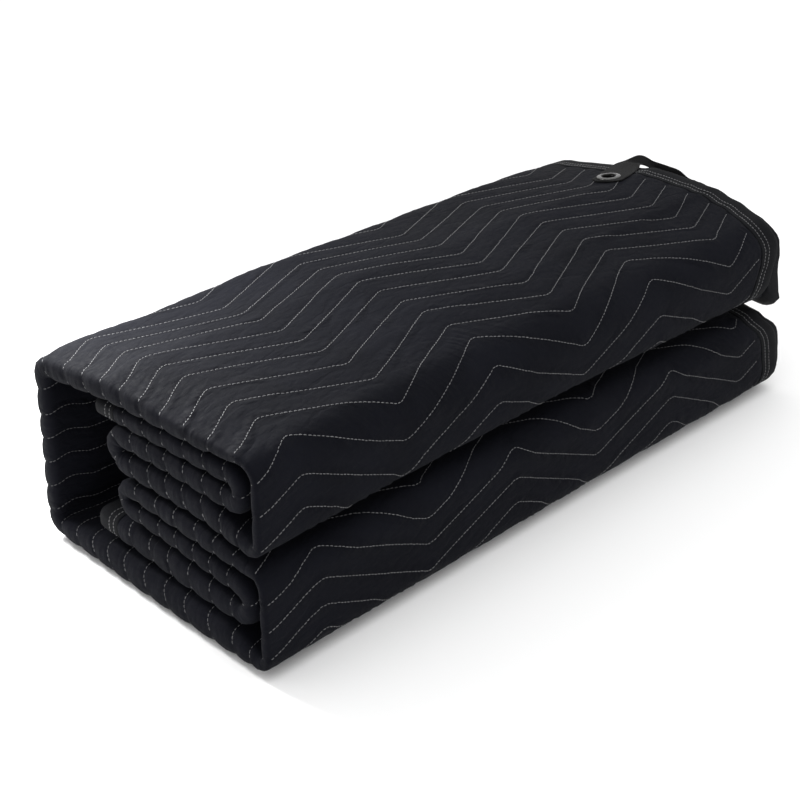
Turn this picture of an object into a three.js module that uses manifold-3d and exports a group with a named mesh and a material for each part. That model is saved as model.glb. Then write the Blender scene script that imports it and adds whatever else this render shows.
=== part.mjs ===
// Sound dampening blanket, folded for storage.
//
// One quilted sheet lies in four plies along its length, and that strip is then folded in eight
// layers, so the pack is a closed upper lobe and lower lobe joined by a spine at the back.
//
// Millimetres. +X runs along the long folds, from the end with the doubled-over folds (near) to the
// end with the hems (far). +Y points from the open side to the spine. +Z is up, and the pack rests
// on z = 0. The sheet has three coordinates: along the serpentine of plies, across the layers
// (a station along the section path), and depth through its own thickness.

import * as THREE from 'three';
import { mergeVertices } from 'three/addons/utils/BufferGeometryUtils.js';
import Module from 'manifold-3d';

// ---- driving sizes ------------------------------------------------------------------------

const PLY_GAP = 0.8;            // air between two plies of the strip
const NEAR_X = 13;              // where the near, middle and far section paths hold
const MIDDLE_X = 320;
const FAR_X = 640;
const SAG_REACH = 22;           // how far from the near folds a layer droops
const TURN_STEPS = 2;           // facets in each quarter turn of a layer
const RUN_X = [600, 330, 70];   // stations along a straight ply
const HEM_STAGGER = 6;          // how far the second hem and the far fold stand past the first hem
const HEM_WAVE = 3.5;           // and how unevenly
const HEM_WAVE_LENGTH = 260;
const ORIGIN_X = 343;           // the middle of the pack's foot, in the fold's own coordinates
const ORIGIN_Y = 144.35;
const ORIGIN_Z = -0.036;

const TAPE_WIDTH = 25;          // binding on each face of the sheet
const TAPE_THICK = 0.6;
const PIECE_GAP = 0.3;          // air between two pieces that touch
const TAPE_SEAT = TAPE_THICK + PIECE_GAP;   // how much thinner each side of the cloth is below it
const SEAT_WIDTH = TAPE_WIDTH + 1;
const SEAT_RAMP = 5;

const STRAP_THICK = 1.5;        // webbing of the hanging loop
const STRAP_CLEAR = 0.45;       // air between the webbing and the cloth that it lies on
const STRAP_LIFT = 2.2;         // how far its tucked end raises the outer ply
const LIFT_START_X = 330;

const EYELET_X = 608;
const EYELET_Y = 176;
const EYELET_HOLE_R = 6.35;
const EYELET_BARREL_R = 7.35;
const EYELET_FLAT_R = 11.4;
const EYELET_R = 12.7;
const EYELET_HEIGHT = 1.3;      // flange above the webbing
const EYELET_MOUTH_DROP = 0.4;  // its rim rounds down into the hole
const WASHER_R = 11.5;
const WASHER_THICK = 0.8;
const EYELET_SIDES = 24;
const HOLE_ABOVE = 7;           // the punched hole is cut this far above the outer ply's face
const HOLE_BELOW = 0.9;         // and below its back

// A row for each corner of the section path, from the upper hem through both lobes to the lower hem.
// y and z of the corner at the near end, middle and far end; its rounding radius near and far; the
// strip's thickness near, middle and far; where its near fold starts, its droop there, and the x of
// its first hem.
const COLUMNS = [
  'name', 'nearY', 'nearZ', 'middleY', 'middleZ', 'farY', 'farZ', 'roundNear', 'roundFar',
  'thickNear', 'thickMiddle', 'thickFar', 'start', 'sag', 'hem',
];
const CORNERS = [
  ['hem_upper',  204, 160, 204, 160, 208, 153,  0,  0, 15, 17, 16, 5, -2, 642],
  ['b_middle',   110, 163, 110, 161, 110, 159, 60, 60, 16, 19, 19, 4, -1, 648],
  ['b_turn',      28, 165,  27, 160,  30, 151, 10, 10, 16, 17, 16, 3,  0, 655],
  ['c_turn',      26, 143,  27, 138,  30, 129, 11, 11, 17, 17, 16, 2,  0, 655],
  ['c_middle',   110, 143, 110, 141, 110, 138, 60, 60, 18, 19, 19, 3,  0, 648],
  ['c_back',     186, 141, 184, 141, 184, 136, 11, 11, 17, 17, 17, 4,  0, 645],
  ['d_back',     184, 116, 182, 119, 182, 114, 12, 12, 19, 18, 18, 5,  0, 645],
  ['d_middle',    70, 119,  80, 118,  90, 113, 60, 60, 26, 21, 21, 4,  0, 650],
  ['d_curl',       4, 112,   8, 118,   9, 110, 10, 11,  9, 14, 15, 0,  0, 648],
  ['wall_top',     5, 187,   9, 184,  14, 172, 15, 20,  7, 14, 15, 0,  0, 648],
  ['a_right',     60, 187,  80, 184,  88, 181, 70, 70, 12, 18, 18, 0,  4, 660],
  ['a_left',     180, 185, 174, 185, 158, 182.6, 90, 90, 20, 19, 19, 0,  4, 664],
  ['spine_top',  278, 171, 277, 175, 285, 160, 18, 22, 18, 18, 18, 0,  3, 657],
  ['spine_low',  280,  13, 278,  13, 278,  13, 14, 14, 16, 18, 18, 0,  0, 650],
  ['h_left',     200,  15, 200,  14, 200,  14, 60, 60, 30, 28, 28, 0,  0, 650],
  ['h_right',     50,  15,  50,  13,  50,  13, 60, 60, 30, 26, 26, 0,  0, 658],
  ['wall_low',     0,  11,   5,  11,   4,  12, 10, 13, 10, 15, 16, 0,  0, 660],
  ['e_wall',       1,  93,   7,  88,   8,  80, 13, 13,  6, 14, 15, 0,  0, 652],
  ['e_middle',    75,  94,  85,  91,  90,  88, 60, 60, 18, 18, 18, 2,  0, 650],
  ['e_back',     179,  94, 178,  95, 178,  93, 10, 10, 15, 16, 16, 5,  0, 648],
  ['f_back',     179,  74, 178,  75, 178,  73, 10, 10, 15, 16, 16, 5,  0, 648],
  ['f_middle',   100,  74, 100,  71, 100,  68, 60, 60, 17, 18, 18, 3,  0, 650],
  ['f_turn',      22,  69,  25,  66,  26,  62, 11, 11, 17, 16, 16, 3,  0, 655],
  ['g_turn',      22,  45,  25,  44,  26,  40, 11, 11, 17, 16, 16, 2,  0, 655],
  ['g_middle',   110,  47, 110,  46, 110,  44, 60, 60, 28, 24, 22, 3,  0, 650],
  ['hem_lower',  214,  47, 212,  47, 212,  46,  0,  0, 22, 22, 22, 5,  0, 645],
].map((row) => Object.fromEntries(COLUMNS.map((column, index) => [column, row[index]])));
const GENTLE_ROUND = 40;        // corners rounder than this are nearly straight: one station each
const LEG_SHARE = 0.49;         // a corner's rounding takes at most this share of its shorter leg

// The hanging loop's webbing, a row for each station of its two edges. reach is the distance past the
// first hem; level says what carries it: the cloth's top ('top'), the slot under the outer ply
// ('slot') or nothing ('free', where z is the height above the pack's foot).
const LOOP_COLUMNS = ['level', 'outerReach', 'outerY', 'outerZ', 'innerReach', 'innerY', 'innerZ'];
const LOOP = [
  ['top',  -70.5, 179.5,   0,   -67.5, 165.0,   0],
  ['top',  -67.0, 186.0,   0,   -62.0, 160.5,   0],
  ['top',  -59.0, 189.5,   0,   -53.0, 163.0,   0],
  ['top',  -38.0, 196.0,   0,   -31.5, 169.5,   0],
  ['top',  -18.0, 202.0,   0,   -12.0, 175.5,   0],
  ['top',   -1.0, 206.0,   0,     4.0, 180.0,   0],
  ['free',  10.0, 204.0, 190.0,   9.0, 178.0, 189.5],
  ['free',  16.0, 194.0, 192.5,   9.0, 171.0, 184.0],
  ['free',  19.0, 176.0, 191.8,  17.0, 164.0, 170.0],
  ['free',  20.0, 160.0, 191.5,  21.0, 155.0, 165.5],
  ['free',  20.0, 146.0, 190.8,  22.0, 147.0, 164.0],
  ['free',  17.0, 132.0, 187.5,  21.0, 142.0, 166.0],
  ['free',  12.0, 118.0, 187.8,  19.0, 138.0, 175.5],
  ['free',   8.0, 110.0, 187.7,  14.0, 136.0, 184.0],
  ['slot',   3.0, 108.0,   0,     6.0, 135.0,   0],
  ['slot', -10.0, 108.0,   0,   -10.0, 135.0,   0],
  ['slot', -22.0, 108.0,   0,   -22.0, 135.0,   0],
].map((row) => Object.fromEntries(LOOP_COLUMNS.map((column, index) => [column, row[index]])));

// ---- the section path ---------------------------------------------------------------------

function direction(from, to) {
  return new THREE.Vector2().subVectors(to, from).normalize();
}

// Rounds the corners of a polyline, and gives its stations as points with their directions.
function roundedPath(points, radii, steps) {
  const last = points.length - 1;
  const stations = [];
  points.forEach((point, index) => {
    if (index === 0 || index === last) {
      const along = direction(points[Math.max(index - 1, 0)], points[Math.min(index + 1, last)]);
      stations.push({ point: point.clone(), along });
      return;
    }
    const before = direction(points[index - 1], point);
    const after = direction(point, points[index + 1]);
    const turn = Math.atan2(before.cross(after), before.dot(after));
    const shortest = Math.min(point.distanceTo(points[index - 1]), point.distanceTo(points[index + 1]));
    const tangent = Math.min(Math.abs(radii[index] * Math.tan(turn / 2)), LEG_SHARE * shortest);
    const radius = Math.abs(turn) > 1e-6 ? tangent / Math.abs(Math.tan(turn / 2)) : 0;
    const start = point.clone().addScaledVector(before, -tangent);
    const inward = new THREE.Vector2(-before.y, before.x).multiplyScalar(Math.sign(turn) * radius);
    const centre = inward.add(start);
    for (let step = 0; step <= steps[index]; step += 1) {
      const angle = steps[index] ? (turn * step) / steps[index] : turn / 2;
      stations.push({
        point: start.clone().rotateAround(centre, angle),
        along: before.clone().rotateAround(new THREE.Vector2(), angle),
        corner: index,
      });
    }
  });
  return stations;
}

const steps = CORNERS.map((corner) => {
  const turnsHard = corner.roundNear > 0 && corner.roundNear < GENTLE_ROUND;
  return turnsHard ? TURN_STEPS : 0;
});
const LAST_CORNER = CORNERS.length - 1;

// The section path at one end, with the strip's thickness and the length so far at each station.
function endSection(yColumn, zColumn, round, thickColumn) {
  const points = CORNERS.map((corner) => new THREE.Vector2(corner[yColumn], corner[zColumn]));
  const path = roundedPath(points, CORNERS.map(round), steps);
  path[0].corner = 0;
  path[path.length - 1].corner = LAST_CORNER;
  path.forEach((station) => { station.thick = CORNERS[station.corner][thickColumn]; });
  let length = 0;
  path.forEach((station, index) => {
    if (index > 0) length += station.point.distanceTo(path[index - 1].point);
    station.length = length;
  });
  return path;
}

const sections = [
  endSection('nearY', 'nearZ', (corner) => corner.roundNear, 'thickNear'),
  endSection('middleY', 'middleZ', (corner) => (corner.roundNear + corner.roundFar) / 2, 'thickMiddle'),
  endSection('farY', 'farZ', (corner) => corner.roundFar, 'thickFar'),
];
const LAST = sections[0].length - 1;
const lengths = sections[0].map((_, index) => (
  sections.reduce((sum, path) => sum + path[index].length, 0) / sections.length
));
const cornerOf = sections[0].map((station) => CORNERS[station.corner]);

// The station, counted with a fraction, that lies a length across the layers.
function stationAt(length) {
  let index = 0;
  while (index < LAST - 1 && lengths[index + 1] <= length) index += 1;
  return index + (length - lengths[index]) / (lengths[index + 1] - lengths[index]);
}

function between(station, value) {
  const index = Math.min(Math.max(Math.floor(station), 0), LAST - 1);
  return THREE.MathUtils.lerp(value(index), value(index + 1), station - index);
}

// Weights of the near, middle and far sections: a parabola through the three.
function endWeights(x) {
  const middle = (MIDDLE_X - NEAR_X) / (FAR_X - NEAR_X);
  const t = THREE.MathUtils.clamp((x - NEAR_X) / (FAR_X - NEAR_X), -0.1, 1.1);
  return [
    ((t - middle) * (t - 1)) / middle,
    (t * (t - 1)) / (middle * (middle - 1)),
    (t * (t - middle)) / (1 - middle),
  ];
}

// Centre, outward normal and thickness of the four-ply strip at a station and an x.
function strip(station, x) {
  const weights = endWeights(x);
  const blend = (value) => sections.reduce(
    (sum, path, end) => sum + weights[end] * between(station, (index) => value(path[index])),
    0,
  );
  const along = new THREE.Vector2(blend((s) => s.along.x), blend((s) => s.along.y)).normalize();
  const normal = new THREE.Vector2(-along.y, along.x);
  const sag = between(station, (index) => cornerOf[index].sag) * Math.exp(-((x / SAG_REACH) ** 2));
  const centre = new THREE.Vector2(blend((s) => s.point.x), blend((s) => s.point.y));
  return { centre: centre.addScaledVector(normal, -sag), normal, thick: blend((s) => s.thick) };
}

// ---- the four plies -----------------------------------------------------------------------

const LEVEL = [1.5, -1.5, -0.5, 0.5];   // each ply's middle, in pitches from the strip's middle
const FACE = [1, -1, 1, -1];            // which way the sheet's face looks on it

function pitchOf(thick) {
  return (thick + PLY_GAP) / 4;
}

function wave(station, shift) {
  const length = between(station, (index) => lengths[index]);
  return HEM_WAVE * Math.sin((2 * Math.PI * length) / HEM_WAVE_LENGTH + shift);
}

const firstHem = (station) => between(station, (index) => cornerOf[index].hem);
const secondHem = (station) => firstHem(station) + HEM_STAGGER + wave(station, 0.6);
const farFold = (station) => firstHem(station) + HEM_STAGGER + wave(station, 2.9);

function nearBend(station) {
  return between(station, (index) => cornerOf[index].start) + strip(station, NEAR_X).thick / 2;
}

function farBend(station) {
  const pitch = pitchOf(strip(station, FAR_X).thick);
  return farFold(station) - (pitch - PLY_GAP / 2);
}

// The tucked end of the hanging loop raises the outer ply's hem.
const stationOf = (name) => cornerOf.findIndex((corner) => corner.name === name);
const LIFT_FROM = stationOf('a_right');
const LIFT_TO = stationOf('a_left');
function lift(station, x) {
  const outside = Math.max(LIFT_FROM - station, station - LIFT_TO, 0);
  const full = firstHem(station) - SEAT_WIDTH - SEAT_RAMP;
  const rise = THREE.MathUtils.clamp((x - LIFT_START_X) / (full - LIFT_START_X), 0, 1);
  return STRAP_LIFT * rise * Math.max(0, 1 - outside);
}

// Where a place on the sheet lies: x and the offset along the strip's normal. A place is on a ply
// (run, x) or on a bend (bend, angle), and depth is measured from the sheet's middle to its face.
function placeOnStrip(station, place, depth) {
  const near = nearBend(station);
  const far = farBend(station);
  if (place.bend === undefined) {
    const x = place.x(station);
    const pitch = pitchOf(strip(station, THREE.MathUtils.clamp(x, near, FAR_X)).thick);
    const raised = place.run === 0 ? lift(station, x) : 0;
    const offset = LEVEL[place.run] * pitch + FACE[place.run] * depth + raised;
    return { x, offset, hold: Math.max(x, near) };
  }
  const hold = place.bend === 'far' ? far : near;
  const pitch = pitchOf(strip(station, Math.min(hold, FAR_X)).thick);
  if (place.bend === 'far') {
    const radius = 0.5 * pitch + depth;
    const offset = -pitch - radius * Math.cos(place.angle);
    return { x: far + radius * Math.sin(place.angle), offset, hold };
  }
  const radius = place.bend === 'outer' ? 1.5 * pitch + depth : 0.5 * pitch - depth;
  const offset = (place.bend === 'outer' ? 1 : -1) * radius * Math.cos(place.angle);
  return { x: near - radius * Math.sin(place.angle), offset, hold };
}

function sheetPoint(station, place, depth) {
  const { x, offset, hold } = placeOnStrip(station, place, depth);
  const { centre, normal } = strip(station, hold);
  return new THREE.Vector3(x, centre.x + normal.x * offset, centre.y + normal.y * offset);
}

function plyHalf(station, place) {
  let x = NEAR_X;
  if (place.bend === undefined) x = Math.max(place.x(station), NEAR_X);
  if (place.bend === 'far') x = FAR_X;
  return (pitchOf(strip(station, Math.min(x, FAR_X)).thick) - PLY_GAP) / 2;
}

// ---- stations of the sheet ------------------------------------------------------------------

const onRun = (run, x) => ({ run, x: typeof x === 'number' ? () => x : x });
const fromHem = (run, hem, distance) => onRun(run, (station) => hem(station) - distance);
const bends = (bend, count) => Array.from({ length: count }, (_, step) => (
  { bend, angle: (Math.PI * (step + 1)) / (count + 1) }
));

const places = [
  fromHem(0, firstHem, 0),
  fromHem(0, firstHem, SEAT_WIDTH),
  fromHem(0, firstHem, SEAT_WIDTH + SEAT_RAMP),
  ...RUN_X.map((x) => onRun(0, x)),
  onRun(0, nearBend),
  ...bends('outer', 3),
  onRun(1, nearBend),
  ...[...RUN_X].reverse().map((x) => onRun(1, x)),
  onRun(1, farBend),
  ...bends('far', 2),
  onRun(2, farBend),
  ...RUN_X.map((x) => onRun(2, x)),
  onRun(2, nearBend),
  ...bends('inner', 2),
  onRun(3, nearBend),
  ...[...RUN_X].reverse().map((x) => onRun(3, x)),
  fromHem(3, secondHem, SEAT_WIDTH + SEAT_RAMP),
  fromHem(3, secondHem, SEAT_WIDTH),
  fromHem(3, secondHem, 0),
];
const TOTAL = lengths[LAST];
const stations = [
  0,
  stationAt(SEAT_WIDTH),
  stationAt(SEAT_WIDTH + SEAT_RAMP),
  ...Array.from({ length: LAST - 1 }, (_, index) => index + 1),
  stationAt(TOTAL - SEAT_WIDTH - SEAT_RAMP),
  stationAt(TOTAL - SEAT_WIDTH),
  LAST,
];
const SEATED = 2;               // stations from each edge of the sheet that lie below the binding
const atEdge = (index, list) => index < SEATED || index >= list.length - SEATED;

// ---- making solids --------------------------------------------------------------------------

// Turns a list of points and quads into a closed geometry with its faces pointing out.
function solid(points, quads) {
  const position = points.flatMap((point) => [point.x, point.y, point.z]);
  const volume = quads.reduce((sum, [a, b, c, d]) => {
    const corner = (index) => points[index];
    const wedge = (p, q, r) => corner(p).dot(new THREE.Vector3().crossVectors(corner(q), corner(r)));
    return sum + wedge(a, b, c) + wedge(a, c, d);
  }, 0);
  const index = quads.flatMap(([a, b, c, d]) => (
    volume > 0 ? [a, b, c, a, c, d] : [a, c, b, a, d, c]
  ));
  const geometry = new THREE.BufferGeometry();
  geometry.setAttribute('position', new THREE.Float32BufferAttribute(position, 3));
  geometry.setIndex(index);
  return geometry;
}

// Neighbouring plies split their facets along the same diagonal, so the air between them stays open.
// A ply that runs away from the near folds takes the other one.
function runsOut(column) {
  return places[column].run % 2 === 1 && places[column - 1].run === places[column].run;
}

function split(quad, other) {
  return other ? [...quad.slice(1), quad[0]] : quad;
}

function blanketGeometry() {
  const points = [];
  stations.forEach((station, row) => {
    places.forEach((place, column) => {
      const seated = atEdge(row, stations) || atEdge(column, places);
      const half = plyHalf(station, place) - (seated ? TAPE_SEAT : 0);
      points.push(sheetPoint(station, place, half), sheetPoint(station, place, -half));
    });
  });
  const at = (row, column, side) => 2 * (row * places.length + column) + side;
  const quads = [];
  for (let row = 1; row < stations.length; row += 1) {
    for (let column = 1; column < places.length; column += 1) {
      const face = [[row - 1, column - 1], [row, column - 1], [row, column], [row - 1, column]]
        .map(([r, c]) => at(r, c, 0));
      const back = [[row - 1, column - 1], [row - 1, column], [row, column], [row, column - 1]]
        .map(([r, c]) => at(r, c, 1));
      quads.push(split(face, runsOut(column)), split(back, runsOut(column)));
    }
    const end = places.length - 1;
    quads.push([at(row - 1, 0, 0), at(row - 1, 0, 1), at(row, 0, 1), at(row, 0, 0)]);
    quads.push([at(row - 1, end, 0), at(row, end, 0), at(row, end, 1), at(row - 1, end, 1)]);
  }
  for (let column = 1; column < places.length; column += 1) {
    const end = stations.length - 1;
    quads.push([at(0, column - 1, 0), at(0, column, 0), at(0, column, 1), at(0, column - 1, 1)]);
    quads.push([at(end, column - 1, 0), at(end, column - 1, 1), at(end, column, 1), at(end, column, 0)]);
  }
  return solid(points, quads);
}

// The binding's U section: distances in from the edge, and depths as a share of its two faces.
const TAPE_SECTION = [
  { from: 'inner', depth: 'outer', side: 1 },
  { from: 'edge', depth: 'outer', side: 1 },
  { from: 'edge', depth: 'outer', side: -1 },
  { from: 'inner', depth: 'outer', side: -1 },
  { from: 'inner', depth: 'inside', side: -1 },
  { from: 'bottom', depth: 'inside', side: -1 },
  { from: 'bottom', depth: 'inside', side: 1 },
  { from: 'inner', depth: 'inside', side: 1 },
];
const TAPE_DISTANCE = { inner: TAPE_WIDTH, edge: -TAPE_SEAT, bottom: -PIECE_GAP };

function bindingGeometry() {
  const lastPlace = places.length - 1;
  const lastStation = stations.length - 1;
  const hemPlace = (column, distance) => (
    column === 0 ? fromHem(0, firstHem, distance) : fromHem(3, secondHem, distance)
  );
  const endStation = (row, distance) => (row === 0 ? stationAt(distance) : stationAt(TOTAL - distance));
  const ring = [];
  for (let column = 0; column < lastPlace; column += 1) ring.push([0, column]);
  for (let row = 0; row < lastStation; row += 1) ring.push([row, lastPlace]);
  for (let column = lastPlace; column > 0; column -= 1) ring.push([lastStation, column]);
  for (let row = lastStation; row > 0; row -= 1) ring.push([row, 0]);

  const points = ring.flatMap(([row, column]) => {
    const atHem = column === 0 || column === lastPlace;
    const atEnd = row === 0 || row === lastStation;
    return TAPE_SECTION.map(({ from, depth, side }) => {
      const distance = TAPE_DISTANCE[from];
      const place = atHem ? hemPlace(column, distance) : places[column];
      const station = atEnd ? endStation(row, distance) : stations[row];
      const half = plyHalf(station, place) - (depth === 'inside' ? TAPE_THICK : 0);
      return sheetPoint(station, place, side * half);
    });
  });
  const count = TAPE_SECTION.length;
  // Each facet is split along the same diagonal as the cloth below it.
  const quads = ring.flatMap(([row, column], index) => {
    const next = (index + 1) % ring.length;
    const alongHem = ring[next][0] !== row;
    const clothColumn = alongHem ? Math.max(column, 1) : Math.max(column, ring[next][1]);
    return TAPE_SECTION.map(({ from }, corner) => {
      const following = (corner + 1) % count;
      const quad = [[index, corner], [index, following], [next, following], [next, corner]]
        .map(([place, point]) => place * count + point);
      return split(quad, (alongHem === (from === 'inner')) === runsOut(clothColumn));
    });
  });
  return solid(points, quads);
}

// ---- the hanging loop and its eyelet ----------------------------------------------------------

// The station of the top layer whose outer face has this y at this x.
function topStation(y, x) {
  let low = LIFT_FROM;
  let high = LIFT_TO + 1;
  for (let step = 0; step < 40; step += 1) {
    const middle = (low + high) / 2;
    const { centre, normal, thick } = strip(middle, x);
    if (centre.x + (normal.x * thick) / 2 < y) low = middle;
    else high = middle;
  }
  return low;
}

// Height of the outer ply's top, or of the middle of the slot below it.
function carrierHeight(x, y, level) {
  const station = topStation(y, x);
  const place = onRun(0, x);
  const half = plyHalf(station, place);
  if (level === 'top') return sheetPoint(station, place, half).z + STRAP_CLEAR + STRAP_THICK / 2;
  return sheetPoint(station, place, -half).z - (PLY_GAP + STRAP_LIFT) / 2;
}

function loopPoint(reach, y, z, level) {
  const x = firstHem(topStation(y, FAR_X)) + reach;
  return new THREE.Vector3(x, y, level === 'free' ? z : carrierHeight(x, y, level));
}

function loopGeometry() {
  const outer = LOOP.map((row) => loopPoint(row.outerReach, row.outerY, row.outerZ, row.level));
  const inner = LOOP.map((row) => loopPoint(row.innerReach, row.innerY, row.innerZ, row.level));
  const middle = outer.map((point, index) => point.clone().lerp(inner[index], 0.5));
  const last = LOOP.length - 1;
  const points = middle.flatMap((_, index) => {
    const along = middle[Math.min(index + 1, last)].clone().sub(middle[Math.max(index - 1, 0)]);
    const across = outer[index].clone().sub(inner[index]);
    const half = new THREE.Vector3().crossVectors(along, across).setLength(STRAP_THICK / 2);
    return [
      outer[index].clone().add(half),
      inner[index].clone().add(half),
      inner[index].clone().sub(half),
      outer[index].clone().sub(half),
    ];
  });
  const quads = [[0, 1, 2, 3], [4 * last + 3, 4 * last + 2, 4 * last + 1, 4 * last]];
  for (let index = 0; index < last; index += 1) {
    for (let corner = 0; corner < 4; corner += 1) {
      const here = 4 * index + corner;
      const beside = 4 * index + ((corner + 1) % 4);
      quads.push([here, here + 4, beside + 4, beside]);
    }
  }
  return solid(points, quads);
}

// The eyelet's own frame: its axis stands on the outer ply's face.
function eyeletFrame() {
  const station = topStation(EYELET_Y, EYELET_X);
  const half = plyHalf(station, onRun(0, EYELET_X));
  const at = (x, across) => sheetPoint(station + across, onRun(0, x), half);
  const alongX = at(EYELET_X + 5, 0).sub(at(EYELET_X - 5, 0)).normalize();
  const alongY = at(EYELET_X, 0.05).sub(at(EYELET_X, -0.05)).normalize();
  const axis = new THREE.Vector3().crossVectors(alongX, alongY).normalize();
  const turn = new THREE.Quaternion().setFromUnitVectors(new THREE.Vector3(0, 1, 0), axis);
  return { seat: at(EYELET_X, 0), turn, ply: 2 * half };
}

function lathe(profile, frame) {
  const points = profile.map(([radius, height]) => new THREE.Vector2(radius, height));
  const geometry = new THREE.LatheGeometry([...points, points[0]], EYELET_SIDES);
  geometry.applyQuaternion(frame.turn);
  return geometry.translate(frame.seat.x, frame.seat.y, frame.seat.z);
}

function eyeletGeometry(frame) {
  const foot = STRAP_CLEAR + STRAP_THICK + PIECE_GAP;
  const top = foot + EYELET_HEIGHT;
  const washer = -(frame.ply + PIECE_GAP);
  return lathe([
    [EYELET_HOLE_R, washer - WASHER_THICK],
    [WASHER_R, washer - WASHER_THICK],
    [WASHER_R, washer],
    [EYELET_BARREL_R, washer],
    [EYELET_BARREL_R, foot],
    [EYELET_R, foot],
    [EYELET_R, foot + EYELET_HEIGHT / 2],
    [EYELET_FLAT_R, top],
    [EYELET_BARREL_R, top],
    [EYELET_HOLE_R, top - EYELET_MOUTH_DROP],
  ], frame);
}

function eyeletHole(frame) {
  const radius = EYELET_BARREL_R + PIECE_GAP;
  const below = -(frame.ply + HOLE_BELOW);
  return lathe([[0, below], [radius, below], [radius, HOLE_ABOVE], [0, HOLE_ABOVE]], frame);
}

const wasm = await Module();
wasm.setup();

function toManifold(geometry) {
  const bare = geometry.clone();
  bare.deleteAttribute('normal');
  bare.deleteAttribute('uv');
  const merged = mergeVertices(bare, 1e-4);
  const position = merged.attributes.position.array;
  const corner = merged.index.array;
  const triangles = [];
  for (let at = 0; at < corner.length; at += 3) {
    const [a, b, c] = corner.subarray(at, at + 3);
    if (a !== b && b !== c && c !== a) triangles.push(a, b, c);
  }
  return new wasm.Manifold(new wasm.Mesh({
    numProp: 3,
    vertProperties: new Float32Array(position),
    triVerts: new Uint32Array(triangles),
  }));
}

function cut(geometry, tool) {
  const mesh = toManifold(geometry).subtract(toManifold(tool)).getMesh();
  const result = new THREE.BufferGeometry();
  result.setAttribute('position', new THREE.BufferAttribute(mesh.vertProperties, 3));
  result.setIndex(new THREE.BufferAttribute(mesh.triVerts, 1));
  return result;
}

// ---- the pack -----------------------------------------------------------------------------

function piece(name, geometry, color, roughness, metalness) {
  geometry.computeVertexNormals();
  const mesh = new THREE.Mesh(geometry, new THREE.MeshStandardMaterial({ color, roughness, metalness }));
  mesh.name = name;
  return mesh;
}

const eyelet = eyeletFrame();
const hole = eyeletHole(eyelet);

const pack = new THREE.Group();
pack.position.set(-ORIGIN_X, -ORIGIN_Y, -ORIGIN_Z);
pack.add(
  piece('blanket', cut(blanketGeometry(), hole), 0x24262a, 0.95, 0),
  piece('binding', bindingGeometry(), 0x33353a, 0.8, 0),
  piece('hanging_loop', cut(loopGeometry(), hole), 0x2b2b2e, 0.85, 0),
  piece('eyelet', eyeletGeometry(eyelet), 0xb9bcc0, 0.3, 1),
);

const group = new THREE.Group();
group.add(pack);

export default group;
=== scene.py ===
"""Looks of the folded sound dampening blanket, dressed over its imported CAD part.

The cloth's shape is worked out in the fold's own coordinates, in millimetres: x runs along the long
folds, y from the open side to the spine and z up. to_frame() turns them into the row frame, in metres.
The sheet has three coordinates of its own: a station along the section path (across the layers), a
place along the serpentine of four plies, and a depth through its thickness.
"""

import math

import bmesh
import bpy
import numpy as np
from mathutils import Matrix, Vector


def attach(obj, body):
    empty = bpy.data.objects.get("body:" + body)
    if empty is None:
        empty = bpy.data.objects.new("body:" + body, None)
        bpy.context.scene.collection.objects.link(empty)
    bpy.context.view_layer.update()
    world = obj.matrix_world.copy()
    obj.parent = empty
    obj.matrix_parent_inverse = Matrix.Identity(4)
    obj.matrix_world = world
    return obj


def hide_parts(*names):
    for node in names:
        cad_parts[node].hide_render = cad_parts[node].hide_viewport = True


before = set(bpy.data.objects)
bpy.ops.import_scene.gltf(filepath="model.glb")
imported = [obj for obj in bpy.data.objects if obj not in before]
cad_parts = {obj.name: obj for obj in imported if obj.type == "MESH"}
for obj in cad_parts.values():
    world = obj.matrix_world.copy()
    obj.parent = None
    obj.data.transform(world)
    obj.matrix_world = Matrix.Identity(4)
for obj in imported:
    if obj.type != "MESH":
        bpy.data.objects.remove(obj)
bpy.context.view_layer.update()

# ---- sizes of the fold, in millimetres ----

ORIGIN = np.array([343.0, 144.35, -0.036])   # the row frame's origin, in the fold's coordinates
PLY_GAP = 0.8             # air between two plies
NEAR_X, MIDDLE_X, FAR_X = 13.0, 320.0, 640.0
SAG_REACH = 22.0          # how far along the folds the droop of the near ends dies away
WALL_ROUND = 30.0         # the upper wall's rounding at the middle
BEND_SQUARE = 0.1         # how far the outer bends fill out towards a square
HEM_STAGGER = 6.0         # how far the inner plies' far edges stand past the first hem
HEM_WAVE = 3.5            # and how far they wander in and out, over HEM_WAVE_LENGTH
HEM_WAVE_LENGTH = 260.0
TAPE_WIDTH = 25.0
TAPE_SEAT = 0.9           # how much thinner each side of the cloth is below the binding
SEAT_RAMP = 6.0
# The seat ends, and the quilting starts, between these distances from the sheet's edge.
SEAT_TO = (TAPE_WIDTH - 0.4, TAPE_WIDTH + 2.5)
FREE_FROM = (TAPE_WIDTH - 2, TAPE_WIDTH + 4)
# How far the first hem stands out past the CAD part's, by corner number along the section path.
HEM_OUT = np.array([
    (7, 0), (8, -9), (8.25, -3), (8.55, 9), (8.8, 8), (9.2, 4), (9.5, 8), (9.8, 5), (10.3, 0), (11, -6),
    (12, 0), (15.3, 0), (15.9, 4), (16.2, 7), (16.5, 11), (16.8, 5), (17.05, -6), (18, 0),
]).T
HEM_RIPPLE = 1.3          # how far its small uneven waves go
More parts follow.
